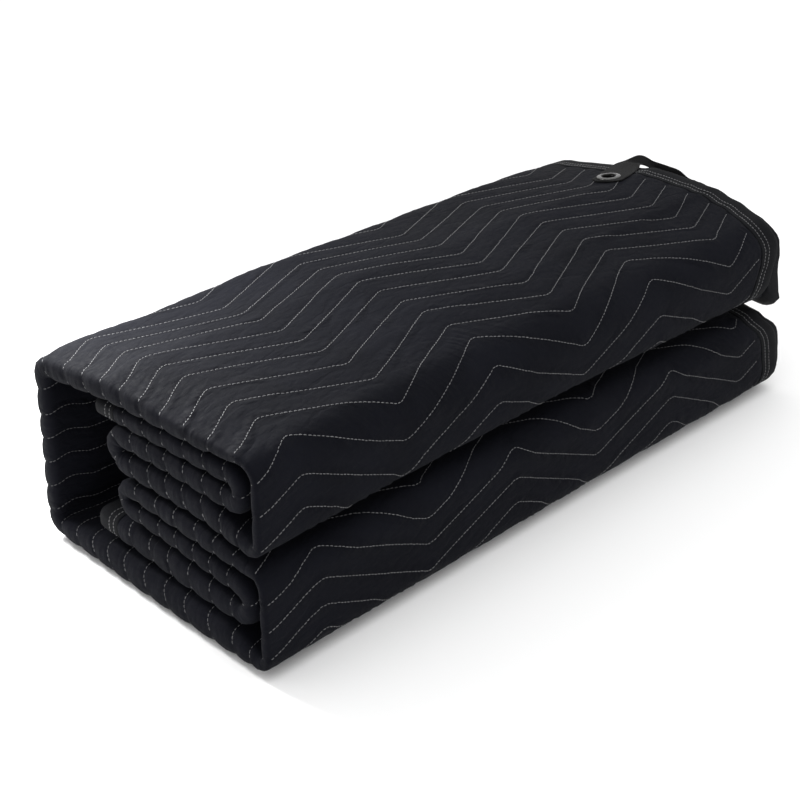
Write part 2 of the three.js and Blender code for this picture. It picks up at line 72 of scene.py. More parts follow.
# How far the inner plies stand out past the first hem, by corner number, where the upper lobe curls under.
INNER_OUT = np.array([(6.5, 0), (7.4, 3), (7.7, 24), (7.9, 38), (8.15, 34), (8.4, 9), (8.7, 0), (9, 0)]).T
SECOND_OUT = 0.7          # the second hem's share of that
INNER_DROOP = 21.0        # how far their corner hangs down there, within the ranges of x, y and z below
DROOP_X, DROOP_Y, DROOP_Z = (640, 672), (30, 70), (94, 103, 118, 138)
STRAP_THICK = 1.5
STRAP_CLEAR = 0.45        # between the webbing and the cloth it lies on
STRAP_LIFT = 2.2          # how far the loop's tucked end raises the outer ply
LIFT_START_X = 330.0      # where that starts
# The band that the loop's sewn end presses in: across the folds, along them from the first hem, and how
# far it leans across for each step along, from LEAN_FROM on.
PRESSED_Y, PRESSED_X = (148, 157, 194, 203), (-84, -73)
STRAP_LEAN, LEAN_FROM = 0.28, -60
EYELET_X, EYELET_Y = 608.0, 176.0
EYELET_CLEAR = 13.0       # no quilting stitch lies nearer to its middle
EYELET_GAP = 0.3          # between its flanges and what they clamp
EYELET_SIDES, HOLE_SIDES = 72, 64
HOLE_RADIUS = 7.65
PUNCH_BELOW, PUNCH_ABOVE = 0.9, 7.0   # how far the hole's punch reaches past the ply and above it

# The section path, corner by corner: the part's own, but for the middle of the wall's top and the spine's
# top, which follow the photo more closely.
COLUMNS = (
    "name", "near_y", "near_z", "middle_y", "middle_z", "far_y", "far_z", "round_near", "round_far",
    "thick_near", "thick_middle", "thick_far", "start", "sag", "hem",
)
CORNERS = [
    ("hem_upper", 204, 160, 204, 160, 208, 153, 0, 0, 15, 17, 16, 5, -2, 642),
    ("b_middle", 110, 163, 110, 161, 110, 159, 60, 60, 16, 19, 19, 4, -1, 648),
    ("b_turn", 28, 165, 27, 160, 30, 151, 10, 10, 16, 17, 16, 3, 0, 655),
    ("c_turn", 26, 143, 27, 138, 30, 129, 11, 11, 17, 17, 16, 2, 0, 655),
    ("c_middle", 110, 143, 110, 141, 110, 138, 60, 60, 18, 19, 19, 3, 0, 648),
    ("c_back", 186, 141, 184, 141, 184, 136, 11, 11, 17, 17, 17, 4, 0, 645),
    ("d_back", 184, 116, 182, 119, 182, 114, 12, 12, 19, 18, 18, 5, 0, 645),
    ("d_middle", 70, 119, 80, 118, 90, 113, 60, 60, 26, 21, 21, 4, 0, 650),
    ("d_curl", 4, 112, 8, 118, 9, 110, 10, 11, 9, 14, 15, 0, 0, 648),
    ("wall_top", 5, 187, 10, 178, 14, 172, 15, 20, 7, 14, 15, 0, 0, 648),
    ("a_right", 60, 187, 80, 184, 88, 181, 70, 70, 12, 18, 18, 0, 4, 660),
    ("a_left", 180, 185, 174, 185, 158, 182.6, 90, 90, 20, 19, 19, 0, 4, 664),
    ("spine_top", 278, 171, 277, 175, 285, 163, 13, 22, 18, 18, 18, 0, 3, 657),
    ("spine_low", 280, 13, 278, 13, 278, 13, 14, 14, 16, 18, 18, 0, 0, 650),
    ("h_left", 200, 15, 200, 14, 200, 14, 60, 60, 30, 28, 28, 0, 0, 650),
    ("h_right", 50, 15, 50, 13, 50, 13, 60, 60, 30, 26, 26, 0, 0, 658),
    ("wall_low", 0, 11, 5, 11, 4, 12, 10, 13, 10, 15, 16, 0, 0, 660),
    ("e_wall", 1, 93, 7, 88, 8, 80, 13, 13, 6, 14, 15, 0, 0, 652),
    ("e_middle", 75, 94, 85, 91, 90, 88, 60, 60, 18, 18, 18, 2, 0, 650),
    ("e_back", 179, 94, 178, 95, 178, 93, 10, 10, 15, 16, 16, 5, 0, 648),
    ("f_back", 179, 74, 178, 75, 178, 73, 10, 10, 15, 16, 16, 5, 0, 648),
    ("f_middle", 100, 74, 100, 71, 100, 68, 60, 60, 17, 18, 18, 3, 0, 650),
    ("f_turn", 22, 69, 25, 66, 26, 62, 11, 11, 17, 16, 16, 3, 0, 655),
    ("g_turn", 22, 45, 25, 44, 26, 40, 11, 11, 17, 16, 16, 2, 0, 655),
    ("g_middle", 110, 47, 110, 46, 110, 44, 60, 60, 28, 24, 22, 3, 0, 650),
    ("hem_lower", 214, 47, 212, 47, 212, 46, 0, 0, 22, 22, 22, 5, 0, 645),
]
CORNERS = [dict(zip(COLUMNS, row)) for row in CORNERS]
CORNER = {corner["name"]: index for index, corner in enumerate(CORNERS)}
GENTLE_ROUND = 40         # corners rounder than this are nearly straight and take fewer stations
HARD_STEPS, GENTLE_STEPS, LEG_SPLITS = 10, 6, 3
LEG_SHARE = 0.49          # a corner's rounding takes at most this share of its shorter leg

# The hanging loop's webbing, close to the part's own: what carries it, then its outer and inner edge, each
# as the distance past the first hem, y and z.
LOOP = [
    ("top", -70.5, 179.5, 0, -67.5, 164, 0), ("top", -67, 186, 0, -62, 158.5, 0),
    ("top", -59, 189.5, 0, -53, 158.5, 0), ("top", -38, 196, 0, -31.5, 164, 0),
    ("top", -18, 202, 0, -12, 172, 0), ("top", -1, 206, 0, 3, 179.5, 0),
    ("free", 9, 205, 185.5, 8, 178, 187.5), ("free", 16, 195, 191.8, 10, 170, 183),
    ("free", 19, 176, 189.2, 19, 160, 171), ("free", 20, 160, 187.7, 22, 152, 165.5),
    ("free", 20, 146, 187.2, 23, 146, 164), ("free", 17, 132, 184.2, 22, 141, 166),
    ("free", 12, 118, 185.9, 19, 138, 175.5), ("free", 8, 110, 186.8, 14, 136, 184),
    ("slot", 3, 108, 0, 6, 135, 0), ("slot", -10, 108, 0, -10, 135, 0), ("slot", -22, 108, 0, -22, 135, 0),
]

LOOP_STEPS = 150          # rows of the webbing's mesh

# ---- the quilting, in millimetres ----

# Where stitch rows cross the near end: the row's number and the length along the section path.
ROW_ANCHORS = [
    (2, 58), (6, 159), (8, 205), (12, 296), (16, 382), (20, 473), (23, 542), (26, 626), (29, 712),
    (34, 838), (36, 900), (41, 1018), (46, 1134), (49, 1216), (51, 1273), (53, 1315), (56, 1390),
    (61, 1513), (65, 1618),
    (69, 1705), (71, 1761), (77, 1918),
]
ROW_PITCH = 26.3
ZIG_AMPLITUDE = 21.5
ZIG_HALF = 107.0          # from a peak of the zigzag to the next valley
ZIG_PHASE = 46.0
ZIG_PHASE_LOW = 22.0      # how much further along the peaks stand on the lower lobe
ZIG_CLIP = 1.06           # its corners are rounded off by this much
ZIG_LOW_ROWS = (40, 51)   # between these rows that shift grows
ZIG_BEHIND = 0.15         # the zigzag's share that is left behind the near folds
ZIG_GROWS = (-45, -5)     # it grows to the full between these distances
WANDER, FINE_WANDER = 0.7, 0.3
EDGE_DRIFT = 6.5          # how far the rows of the outside swing towards the spine past the near folds
EDGE_DRIFT_X = (8, 50)
# How far the rows drift along the pack: x, then the drift on the upper lobe's wall and on the lower lobe's.
DRIFT = np.array([
    (0, 0, 0), (50, -5, -8), (100, -3, -12.5), (150, 0, -17), (260, 8, -25), (370, 12, -32), (470, 16, -37),
    (575, 19, -41.5), (640, 21, -44),
]).T
TOP_ROWS_END = 28.5       # the upper wall's drift fades over the four rows before this
LOW_ROWS = (36, 50)       # the lower lobe's grows between these
OUTSIDE_ROWS = (14, 20, 58.5, 65)   # rows between the middle two lie wholly on the pack's outside
LAST_WHOLE_ROW = 77

STITCH_PITCH = 3.7
STITCH_LENGTH = 3.45
THREAD_RADIUS = 0.44
INSIDE_THREAD_RADIUS = 0.34
GROOVE = 0.75             # how deep a stitch row lies below the cloth's mean face
PUFF = 0.75               # how high the padding stands between two rows
PUFF_POWER = 2.6          # how full it is
THIN_PUFF = 0.35          # and its least share where the cloth is drawn thin
PRESSED = 0.3             # how far the loop's foot sinks in
SPINE_DENT = 4.5          # how far the spine's upper edge sags, round DENT_X and within ranges of y and z
DENT_X, DENT_REACH = 140, 85
DENT_Y, DENT_Z = (120, 260), (90, 160)
SWELL, FINE_SWELL = 0.8, 0.35   # how far the pack's long and short waves go, up and across
SIDE_SWELL = 0.27         # and how far they go along it
TOP_HEIGHT = 190.0        # they grow from the floor up to here
FLOOR_EASE = 0.3          # how softly the padding flattens on the floor
BEND_PUFF = 0.2           # how much deeper the quilting is where the sheet turns

rng = np.random.default_rng(11)


def smoothstep(value, low=0.0, high=1.0):
    t = np.clip((np.asarray(value, float) - low) / (high - low), 0, 1)
    return t * t * (3 - 2 * t)


def band(value, rise_from, rise_to, fall_from, fall_to):
    """1 between its two ranges, eased to 0 across them."""
    return smoothstep(value, rise_from, rise_to) * (1 - smoothstep(value, fall_from, fall_to))


# ---- the section path ----


def column(name):
    return np.array([corner[name] for corner in CORNERS], float)


def unit(vector):
    return vector / np.linalg.norm(vector)


def run_length(points):
    """Distance along a polyline, at each of its points."""
    return np.concatenate([[0], np.cumsum(np.linalg.norm(np.diff(points, axis=0), axis=1))])


def section_path(y, z, rounding):
    """Points, directions and corner counts of the section path with its corners rounded."""
    corners = np.column_stack([column(y), column(z)])
    last = len(corners) - 1
    points, along, count = [], [], []
    for index, point in enumerate(corners):
        if index in (0, last):
            direction = corners[1] - corners[0] if index == 0 else corners[last] - corners[last - 1]
            points.append(point)
            along.append(unit(direction))
            count.append(float(index))
            continue
        before, after = unit(point - corners[index - 1]), unit(corners[index + 1] - point)
        turn = math.atan2(before[0] * after[1] - before[1] * after[0], before @ after)
        shorter = min(np.linalg.norm(point - corners[index - 1]), np.linalg.norm(corners[index + 1] - point))
        tangent = min(abs(rounding[index] * math.tan(turn / 2)), LEG_SHARE * shorter)
        radius = tangent / abs(math.tan(turn / 2)) if abs(turn) > 1e-6 else 0.0
        start = point - before * tangent
        centre = start + np.array([-before[1], before[0]]) * math.copysign(radius, turn)
        steps = HARD_STEPS if rounding[index] < GENTLE_ROUND else GENTLE_STEPS
        for step in range(steps + 1):
            angle = turn * step / steps
            spin = np.array([[math.cos(angle), -math.sin(angle)], [math.sin(angle), math.cos(angle)]])
            points.append(centre + spin @ (start - centre))
            along.append(spin @ before)
            count.append(index + (step / steps - 0.5) * 0.5)
    fine = np.arange((len(points) - 1) * LEG_SPLITS + 1) / LEG_SPLITS
    along = np.array([lerp_at(np.array(along)[:, axis], fine) for axis in (0, 1)]).T
    along /= np.linalg.norm(along, axis=1)[:, None]
    points = np.array([lerp_at(np.array(points)[:, axis], fine) for axis in (0, 1)]).T
    return points, along, lerp_at(np.array(count), fine)


def lerp_at(values, place):
    """values at a fractional index."""
    place = np.clip(np.asarray(place, float), 0, len(values) - 1)
    low = np.minimum(place.astype(int), len(values) - 2)
    share = place - low
    return values[low] * (1 - share) + values[low + 1] * share


def eased(name, count):
    """A corner's value, eased from corner to corner."""
    values = column(name)
    low = np.minimum(count.astype(int), len(values) - 2)
    share = smoothstep(count - low)
    return values[low] * (1 - share) + values[low + 1] * share


ROUND_NEAR, ROUND_FAR = column("round_near"), column("round_far")
ROUND_MIDDLE = (ROUND_NEAR + ROUND_FAR) / 2
ROUND_MIDDLE[CORNER["wall_top"]] = WALL_ROUND
ENDS = [
    section_path("near_y", "near_z", ROUND_NEAR),
    section_path("middle_y", "middle_z", ROUND_MIDDLE),
    section_path("far_y", "far_z", ROUND_FAR),
]
COUNT = ENDS[0][2]
THICK = [eased(name, COUNT) for name in ("thick_near", "thick_middle", "thick_far")]
LENGTH = [run_length(points) for points, _, _ in ENDS]
MEAN_LENGTH = sum(LENGTH) / 3
START, SAG, HEM = eased("start", COUNT), eased("sag", COUNT), eased("hem", COUNT)
LAST = len(COUNT) - 1
STATIONS = np.arange(LAST + 1)


OVERRUN = 0.1             # the sections go on changing for this share of the pack's length past its ends


def weights(x):
    """Shares of the near, middle and far sections: a parabola through the three."""
    middle = (MIDDLE_X - NEAR_X) / (FAR_X - NEAR_X)
    t = np.clip((np.asarray(x, float) - NEAR_X) / (FAR_X - NEAR_X), -OVERRUN, 1 + OVERRUN)
    return (
        (t - middle) * (t - 1) / middle,
        t * (t - 1) / (middle * (middle - 1)),
        t * (t - middle) / (1 - middle),
    )


def blend(values, station, x):
    return sum(share * lerp_at(value, station) for share, value in zip(weights(x), values))


def strip(station, x):
    """Centre, outward normal and thickness of the four-ply strip."""
    centre = [blend([points[:, axis] for points, _, _ in ENDS], station, x) for axis in (0, 1)]
    along = [blend([directions[:, axis] for _, directions, _ in ENDS], station, x) for axis in (0, 1)]
    size = np.hypot(*along)
    normal = (-along[1] / size, along[0] / size)
    sag = lerp_at(SAG, station) * np.exp(-((x / SAG_REACH) ** 2))
    return (centre[0] - normal[0] * sag, centre[1] - normal[1] * sag), normal, blend(THICK, station, x)


def pitch_of(thick):
    return (thick + PLY_GAP) / 4


def first_hem(station):
    """The x of the outer ply's far edge: the CAD part's, with the photo's bulges and a small ripple."""
    count, length = lerp_at(COUNT, station), lerp_at(LENGTH[2], station)
    ripple = np.sin(length / 4.3 + 2.2 * np.sin(length / 37)) * np.sin(length / 29 + 1)
    return lerp_at(HEM, station) + np.interp(count, *HEM_OUT) + HEM_RIPPLE * ripple


def inner_out(station):
    return np.interp(lerp_at(COUNT, station), *INNER_OUT)


def wave(station, shift):
    return HEM_WAVE * np.sin(2 * np.pi * lerp_at(MEAN_LENGTH, station) / HEM_WAVE_LENGTH + shift)


def second_hem(station):
    return first_hem(station) + HEM_STAGGER + wave(station, 0.6) + SECOND_OUT * inner_out(station)


def near_bend(station):
    return lerp_at(START, station) + blend(THICK, station, NEAR_X) / 2


def far_bend(station):
    pitch = pitch_of(blend(THICK, station, FAR_X))
    return first_hem(station) + HEM_STAGGER + wave(station, 2.9) + inner_out(station) - (pitch - PLY_GAP / 2)


def station_near(name, part=0.0):
    """The station at a corner of the section path, or part of the way to the next one."""
    return float(np.interp(CORNER[name] + part, COUNT, STATIONS))


RISE_FROM, FULL_FROM = station_near("wall_top", 0.25), station_near("a_right")
FULL_TO, RISE_TO = station_near("a_left"), station_near("spine_top", -0.25)


def lift(station, x):
    """How far the loop's tucked end raises the outer ply."""
    full = first_hem(station) - TAPE_WIDTH - SEAT_RAMP
    rise = np.clip((x - LIFT_START_X) / (full - LIFT_START_X), 0, 1)
    share = np.clip((station - RISE_FROM) / (FULL_FROM - RISE_FROM), 0, 1)
    return STRAP_LIFT * rise * share * np.clip((RISE_TO - station) / (RISE_TO - FULL_TO), 0, 1)


# ---- the sheet ----

# The plies, in the order in which the sheet runs through them: how many pitches each lies outward of the
# strip's middle, and whether its face looks outward (1) or inward (-1).
PLIES = {"ply0": (1.5, 1), "ply1": (-1.5, -1), "ply2": (-0.5, 1), "ply3": (0.5, -1)}
OUTER_BEND, INNER_BEND = 1.5, 0.5   # radii of the bends, in pitches


def hold_x(kind, value, station):
    """The x whose section a place takes."""
    if kind in PLIES:
        return np.maximum(value, near_bend(station))
    return far_bend(station) if kind == "far" else near_bend(station)


def half_of(kind, value, station):
    """Half the sheet's thickness."""
    x = FAR_X if kind == "far" else NEAR_X
    if kind in PLIES:
        x = np.clip(value, NEAR_X, FAR_X)
    return (pitch_of(blend(THICK, station, x)) - PLY_GAP) / 2


def sheet_point(kind, value, station, depth):
    """Points of the sheet, in the fold's coordinates. value is x on a ply and an angle on a bend."""
    station = np.asarray(station, float)
    near = near_bend(station)
    hold = hold_x(kind, value, station)
    pitch = pitch_of(blend(THICK, station, np.clip(hold, near, FAR_X)))
    if kind in PLIES:
        level, face = PLIES[kind]
        x = value + 0 * station
        offset = level * pitch + face * depth
        if kind == "ply0":
            offset = offset + lift(station, value)
    elif kind == "far":
        radius = INNER_BEND * pitch + depth
        x = hold + radius * np.sin(value)
        offset = -pitch - radius * np.cos(value)
    elif kind == "outer":
        radius = (OUTER_BEND * pitch + depth) * (1 + BEND_SQUARE * np.sin(2 * value) ** 2)
        x = near - radius * np.sin(value)
        offset = radius * np.cos(value)
    else:
        radius = INNER_BEND * pitch - depth
        x = near - radius * np.sin(value)
        offset = -radius * np.cos(value)
    centre, normal, _ = strip(station, hold)
    return np.stack([x, centre[0] + normal[0] * offset, centre[1] + normal[1] * offset], -1)


def bend_radius(station):
    """Mean radius of the near bend from the outer ply to the one behind it."""
    return OUTER_BEND * pitch_of(blend(THICK, station, NEAR_X))


def serpentine(kind, value, station):
    """Distance along the sheet's face from the near folds: x on the outer ply, and below zero past it."""
    if kind == "ply0":
        return value + 0 * station
    near = near_bend(station)
    radius = bend_radius(station)
    if kind == "outer":
        return near - radius * value
    if kind == "ply1":
        return near - radius * np.pi - (value - near)
    return np.full(np.shape(station), -2 * FAR_X)


# ---- the stitch rows ----

ROW_NUMBERS, ROW_LENGTHS = np.array(ROW_ANCHORS, float).T


def near_station(row):
    """The station at which a row, or a place between rows, crosses the near end."""
    return np.interp(near_length(row), LENGTH[0], STATIONS)


def near_length(row):
    """Length along the near section at which a row, or a place between rows, lies."""
    inside = np.interp(row, ROW_NUMBERS, ROW_LENGTHS)
    before = np.minimum(row - ROW_NUMBERS[0], 0) * ROW_PITCH
    return inside + before + np.maximum(row - ROW_NUMBERS[-1], 0) * ROW_PITCH


FIRST_ROW = ROW_NUMBERS[0] - ROW_LENGTHS[0] / ROW_PITCH
LAST_ROW = ROW_NUMBERS[-1] + (LENGTH[0][-1] - ROW_LENGTHS[-1]) / ROW_PITCH
WALL = station_near("wall_top")


def local_length(station, x):
    return blend(LENGTH, station, x)


def drift(row, x):
    """How far a row has moved along the section path from where it crosses the near end."""
    top = np.interp(x, DRIFT[0], DRIFT[1]) * np.clip((TOP_ROWS_END - row) / 4, 0, 1)
    low = np.interp(x, DRIFT[0], DRIFT[2]) * smoothstep(row, *LOW_ROWS)
    return top + low + EDGE_DRIFT * smoothstep(x, *EDGE_DRIFT_X)


def row_length(row, x):
    """Length along the section path at x at which a row lies, its zigzag left out."""
    near = np.clip(near_length(row), 0, LENGTH[0][-1])
    follow = blend(LENGTH, np.interp(near, LENGTH[0], STATIONS), x)
    outside = blend(LENGTH, WALL, x) + near - np.interp(WALL, STATIONS, LENGTH[0]) + drift(row, x)
    return follow + (outside - follow) * band(row, *OUTSIDE_ROWS)


def zigzag(along, row):
    """How far a row swings to either side of its mean line, and wanders as the sewer's hand does."""
    later = ZIG_PHASE_LOW * smoothstep(row, *ZIG_LOW_ROWS) * np.clip((along + 60) / 200, 0, 1)
    t = ((along - ZIG_PHASE - later) / ZIG_HALF) % 2
    triangle = np.where(t < 1, 1 - 2 * t, 2 * t - 3)
    swing = ZIG_AMPLITUDE * np.clip(ZIG_CLIP * triangle, -1, 1)
    wander = WANDER * np.sin(along / 41 + 1.9 * row) + FINE_WANDER * np.sin(along / 23 - 2.7 * row)
    return (swing + wander) * (ZIG_BEHIND + (1 - ZIG_BEHIND) * smoothstep(along, *ZIG_GROWS))


def station_at(length, x):
    """The stations whose local length at x is this, by halving."""
    length = np.asarray(length, float)
    low, high = np.zeros(np.shape(length)), np.full(np.shape(length), float(LAST))
    for _ in range(26):
        middle = (low + high) / 2
        short = local_length(middle, x) < length
        low, high = np.where(short, middle, low), np.where(short, high, middle)
    return (low + high) / 2


# ---- relief ----


def quilt(row, half):
    """Height of the padding between two stitch rows, and the groove at each."""
    from_row = np.abs(2 * (row - np.round(row)))
    rise = 1 - (1 - from_row) ** PUFF_POWER
    return (-GROOVE + (GROOVE + PUFF) * rise) * np.clip(half / 2, THIN_PUFF, 1)


def under_strap(kind, value, station):
    """How fully the hanging loop presses on a place of the outer ply, from 0 to 1."""
    if kind != "ply0":
        return 0.0 * station
    centre, _, _ = strip(station, value)
    past = value - first_hem(station)
    across = band(centre[0] - STRAP_LEAN * (past - LEAN_FROM), *PRESSED_Y)
    top = (station > FULL_FROM) & (station < RISE_TO)
    return across * smoothstep(past, *PRESSED_X) * top


def relief(kind, value, station, row, half):
    """Height of the quilting at a place, less where something presses on it."""
    pressed = under_strap(kind, value, station)
    full = 1 + BEND_PUFF * np.sin(value) ** 0.7 if kind == "outer" else 1
    return quilt(row, half) * full * (1 - pressed) - PRESSED * pressed


def warp(points):
    """Moves everything alike: shallow swells, the spine's dent, the drooping corner, the floor's rest."""
    x, y, z = np.moveaxis(points, -1, 0)
    up = np.clip(z / TOP_HEIGHT, 0, 1)
    dx = SIDE_SWELL * np.sin(y / 33 + z / 27 + 0.9)
    dy = SWELL * np.sin(x / 63 + z / 41 + 1.3) + FINE_SWELL * np.sin(x / 33 - z / 29 + 0.2)
    dz = SWELL * np.sin(x / 57 + y / 71 + 0.6) + FINE_SWELL * np.sin(x / 31 - y / 41 + 2.1)
    dent = SPINE_DENT * np.exp(-(((x - DENT_X) / DENT_REACH) ** 2))
    dent = dent * smoothstep(y, *DENT_Y) * smoothstep(z, *DENT_Z)
    droop = INNER_DROOP * smoothstep(x, *DROOP_X) * (1 - smoothstep(y, *DROOP_Y)) * band(z, *DROOP_Z)
    rest = (np.hypot(z, FLOOR_EASE) - z) / 2
    return points + np.stack([dx, dy * (0.3 + 0.7 * up), dz * up + rest - dent - droop], -1)


def to_frame(points):
    return (warp(np.asarray(points, float)) - ORIGIN) / 1000


# ---- meshes ----


def add_object(name, data):
    made = bpy.data.objects.new(name, data)
    bpy.context.scene.collection.objects.link(made)
    return made


def make_mesh(name, points, faces, material, sheet=None):
    """A mesh object from points in metres, arrays of faces and, for the material, the sheet coordinates."""
    mesh = bpy.data.meshes.new(name)
    mesh.from_pydata(points, [], [face for part in faces for face in part.tolist()], shade_flat=False)
    if sheet is not None:
        layer = mesh.attributes.new("sheet", "FLOAT_VECTOR", "POINT")
        layer.data.foreach_set("vector", np.asarray(sheet, np.float32).ravel())
    mesh.validate()
    solid = bmesh.new()
    solid.from_mesh(mesh)
    if solid.calc_volume(signed=True) < 0:
        mesh.flip_normals()
    solid.free()
    mesh.materials.append(material)
    return add_object(name, mesh)


def numbered(shape, first=0):
    """Vertex numbers of a grid of points."""
    return first + np.arange(shape[0] * shape[1]).reshape(shape[:2])


def grid_faces(index):
    """Quads of a grid of vertex numbers."""
    return np.stack([index[:-1, :-1], index[1:, :-1], index[1:, 1:], index[:-1, 1:]], -1).reshape(-1, 4)


def tube_faces(index):
    """Quads of a tube: a grid whose rows close on themselves."""
    return grid_faces(np.concatenate([index, index[:, :1]], axis=1))


def cap_faces(index, middles):
    """Triangles that close both ends of a tube, each around the number of a vertex in its middle."""
    return [
        np.stack([np.full(len(ring), middle), ring, np.roll(ring, -1)], -1)[:, ::turn]
        for ring, middle, turn in ((index[0], middles[0], 1), (index[-1], middles[1], -1))
    ]


def zip_faces(first, first_at, second, second_at):
    """Triangles between two rows of vertices whose places along the edge are given."""
    order = np.argsort(np.concatenate([first_at[1:], second_at[1:]]), kind="stable")
    on_first = order < len(first) - 1
    i, j = (np.cumsum(step) - step for step in (on_first, ~on_first))
    ahead = [row[np.minimum(at + 1, len(row) - 1)] for row, at in ((first, i), (second, j))]
    return np.stack([first[i], np.where(on_first, *ahead), second[j]], -1)


# ---- the blanket ----

ROW_STEPS = (0.0, 0.1, 0.28, 0.5, 0.72, 0.9)   # the mesh's lines from one stitch row to the next
LEAST_STEP = 0.06
BORDER_ROWS = 1.3                              # over these, from either end, the zigzag's shear grows
QUILTED = ("ply0", "outer", "ply1")            # where the face's quilting is modelled


def grid_rows():
    rows = np.array([k + t for k in range(-1, LAST_WHOLE_ROW + 2) for t in ROW_STEPS])
    rows = rows[(rows > FIRST_ROW + LEAST_STEP) & (rows < LAST_ROW - LEAST_STEP)]
    return np.concatenate([[FIRST_ROW], rows, [LAST_ROW]])


def from_hem(distance, kind="ply0"):
    hem = first_hem if kind == "ply0" else second_hem
    return (kind, lambda station: hem(station) - distance)


def along_ply(kind, share):
    """A share of the way from the near bend to the inner side of the binding, or to the far bend."""

    def place(station):
        end = far_bend(station)
        if kind in ("ply0", "ply3"):
            end = (first_hem if kind == "ply0" else second_hem)(station) - TAPE_WIDTH - SEAT_RAMP
        return near_bend(station) + (end - near_bend(station)) * share

    return (kind, place)


def on_bend(kind, count):
    """Places evenly round a bend, with its two ends left to the plies."""
    angles = [np.pi * ((k + 1) / (count + 1)) for k in range(count)]
    return [(kind, lambda station, angle=angle: np.full(np.shape(station), angle)) for angle in angles]


def columns_of(first_hems, plies, bends, second_hems):
    """Places of a side's columns, along the serpentine from the first hem to the second."""
    turn = [on_bend(*bend) for bend in zip(("outer", "far", "inner"), bends)] + [[]]
    made = [from_hem(distance) for distance in first_hems]
    for kind, steps, bend in zip(PLIES, plies, turn):
        backwards = kind in ("ply0", "ply2")
        made += [along_ply(kind, 1 - share if backwards else share) for share in steps] + bend
    return made + [from_hem(distance, "ply3") for distance in second_hems]


OUTER_STEPS = np.linspace(0, 1, 90)
BEHIND_STEPS = (
    0, 0.009, 0.02, 0.033, 0.05, 0.07, 0.095, 0.125, 0.16, 0.2, 0.26, 0.4, 0.55, 0.7, 0.82, 0.9, 0.94, 0.965,
    0.985, 1,
)
HIDDEN_STEPS = (0, 0.1, 0.3, 0.5, 0.7, 0.9, 1)
FACE_PLIES = (OUTER_STEPS, BEHIND_STEPS, (0, 0.03, 0.2, 0.5, 0.8, 0.97, 1), (0, 0.2, 0.5, 0.8, 0.97, 1))
FACE_HEM = (0, 5, 12, 18, 24.5, 26, 27.5)
FACE_SECOND_HEM = (27.5, 24.5, 12, 0)


def face_columns():
    return columns_of(FACE_HEM, FACE_PLIES, (11, 5, 3), FACE_SECOND_HEM)


def back_columns():
    return columns_of((0, 12, 24), (HIDDEN_STEPS,) * 4, (4, 3, 3), (24, 12, 0))


def seat(kind, value, station, x):
    """How far the cloth is pressed in below the binding, and the distance from its edge."""
    length = local_length(station, x)
    edge = np.minimum(length, local_length(LAST, x) - length)
    if kind == "ply0":
        edge = np.minimum(edge, first_hem(station) - value)
    if kind == "ply3":
        edge = np.minimum(edge, second_hem(station) - value)
    return TAPE_SEAT * (1 - smoothstep(edge, *SEAT_TO)), edge


def solve_column(kind, place, rows, sheared):
    """Stations and values of a column, its lines moved along the section path by the zigzag if sheared."""
    station = near_station(rows)
    border = smoothstep(np.minimum(rows - FIRST_ROW, LAST_ROW - rows), 0, BORDER_ROWS)
    for _ in range(3):
        value = place(station)
        x = hold_x(kind, value, station)
        shift = 0
        if sheared and kind in QUILTED:
            shift = zigzag(serpentine(kind, value, station), rows) * border
            if kind == "ply0":
                shift = shift * smoothstep(first_hem(station) - value, 0, TAPE_WIDTH)
        total = local_length(float(LAST), x)
        length = np.clip(row_length(rows, x) + shift, 0, total)
        station = station_at(length, x)
    station[0], station[-1] = 0, LAST
    return station, place(station)


def true_row(kind, value, station, x):
    """The row number at each point of a column, its zigzag taken off."""
    table = np.linspace(FIRST_ROW, LAST_ROW, 900)
    length, along = local_length(station, x), serpentine(kind, value, station)
    row = np.interp(length, row_length(table, float(np.mean(x))), table)
    for _ in range(8):
        error = length - zigzag(along, row) - row_length(row, x)
        row = np.clip(row + error / ROW_PITCH, FIRST_ROW, LAST_ROW)
    return row


def depth_of(kind, value, station, row):
    """Depth of a side of the cloth below or above its middle; a row number asks for the face's quilting."""
    half = half_of(kind, value, station)
    pressed, edge = seat(kind, value, station, hold_x(kind, value, station))
    if row is None:
        return half - pressed
    return half - pressed + relief(kind, value, station, row, half) * smoothstep(edge, *FREE_FROM)


def blanket_side(columns, side, rows):
    points, sheet = [], []
    for kind, place in columns:
        station, value = solve_column(kind, place, rows, side > 0)
        x = hold_x(kind, value, station)
        row = true_row(kind, value, station, x)
        depth = depth_of(kind, value, station, row if side > 0 and kind in QUILTED else None)
        points.append(sheet_point(kind, value, station, side * depth))
        sheet.append(np.stack([serpentine(kind, value, station), local_length(station, x), row], -1))
    return np.array(points).transpose(1, 0, 2), np.array(sheet).transpose(1, 0, 2)


def blanket(material):
    rows = grid_rows()
    face, face_sheet = blanket_side(face_columns(), 1, rows)
    back, back_sheet = blanket_side(back_columns(), -1, rows)
    index = numbered(face.shape)
    under = numbered(back.shape, index.size)
    faces = [grid_faces(index), grid_faces(under[:, ::-1])]
    for hem, order in ((0, -1), (-1, 1)):
        faces.append(grid_faces(np.stack([index[:, hem], under[:, hem]], -1)[:, ::order]))
    for end, turn in ((0, 1), (-1, -1)):
        places = [run_length(side[end]) for side in (face, back)]
        triangles = zip_faces(index[end], places[0] / places[0][-1], under[end], places[1] / places[1][-1])
        faces.append(triangles[:, ::turn])
    points = np.concatenate([face.reshape(-1, 3), back.reshape(-1, 3)])
    sheet = np.concatenate([face_sheet.reshape(-1, 3), back_sheet.reshape(-1, 3)])
    return make_mesh("quilted_sheet", to_frame(points), faces, material, sheet)


# ---- sewing thread ----


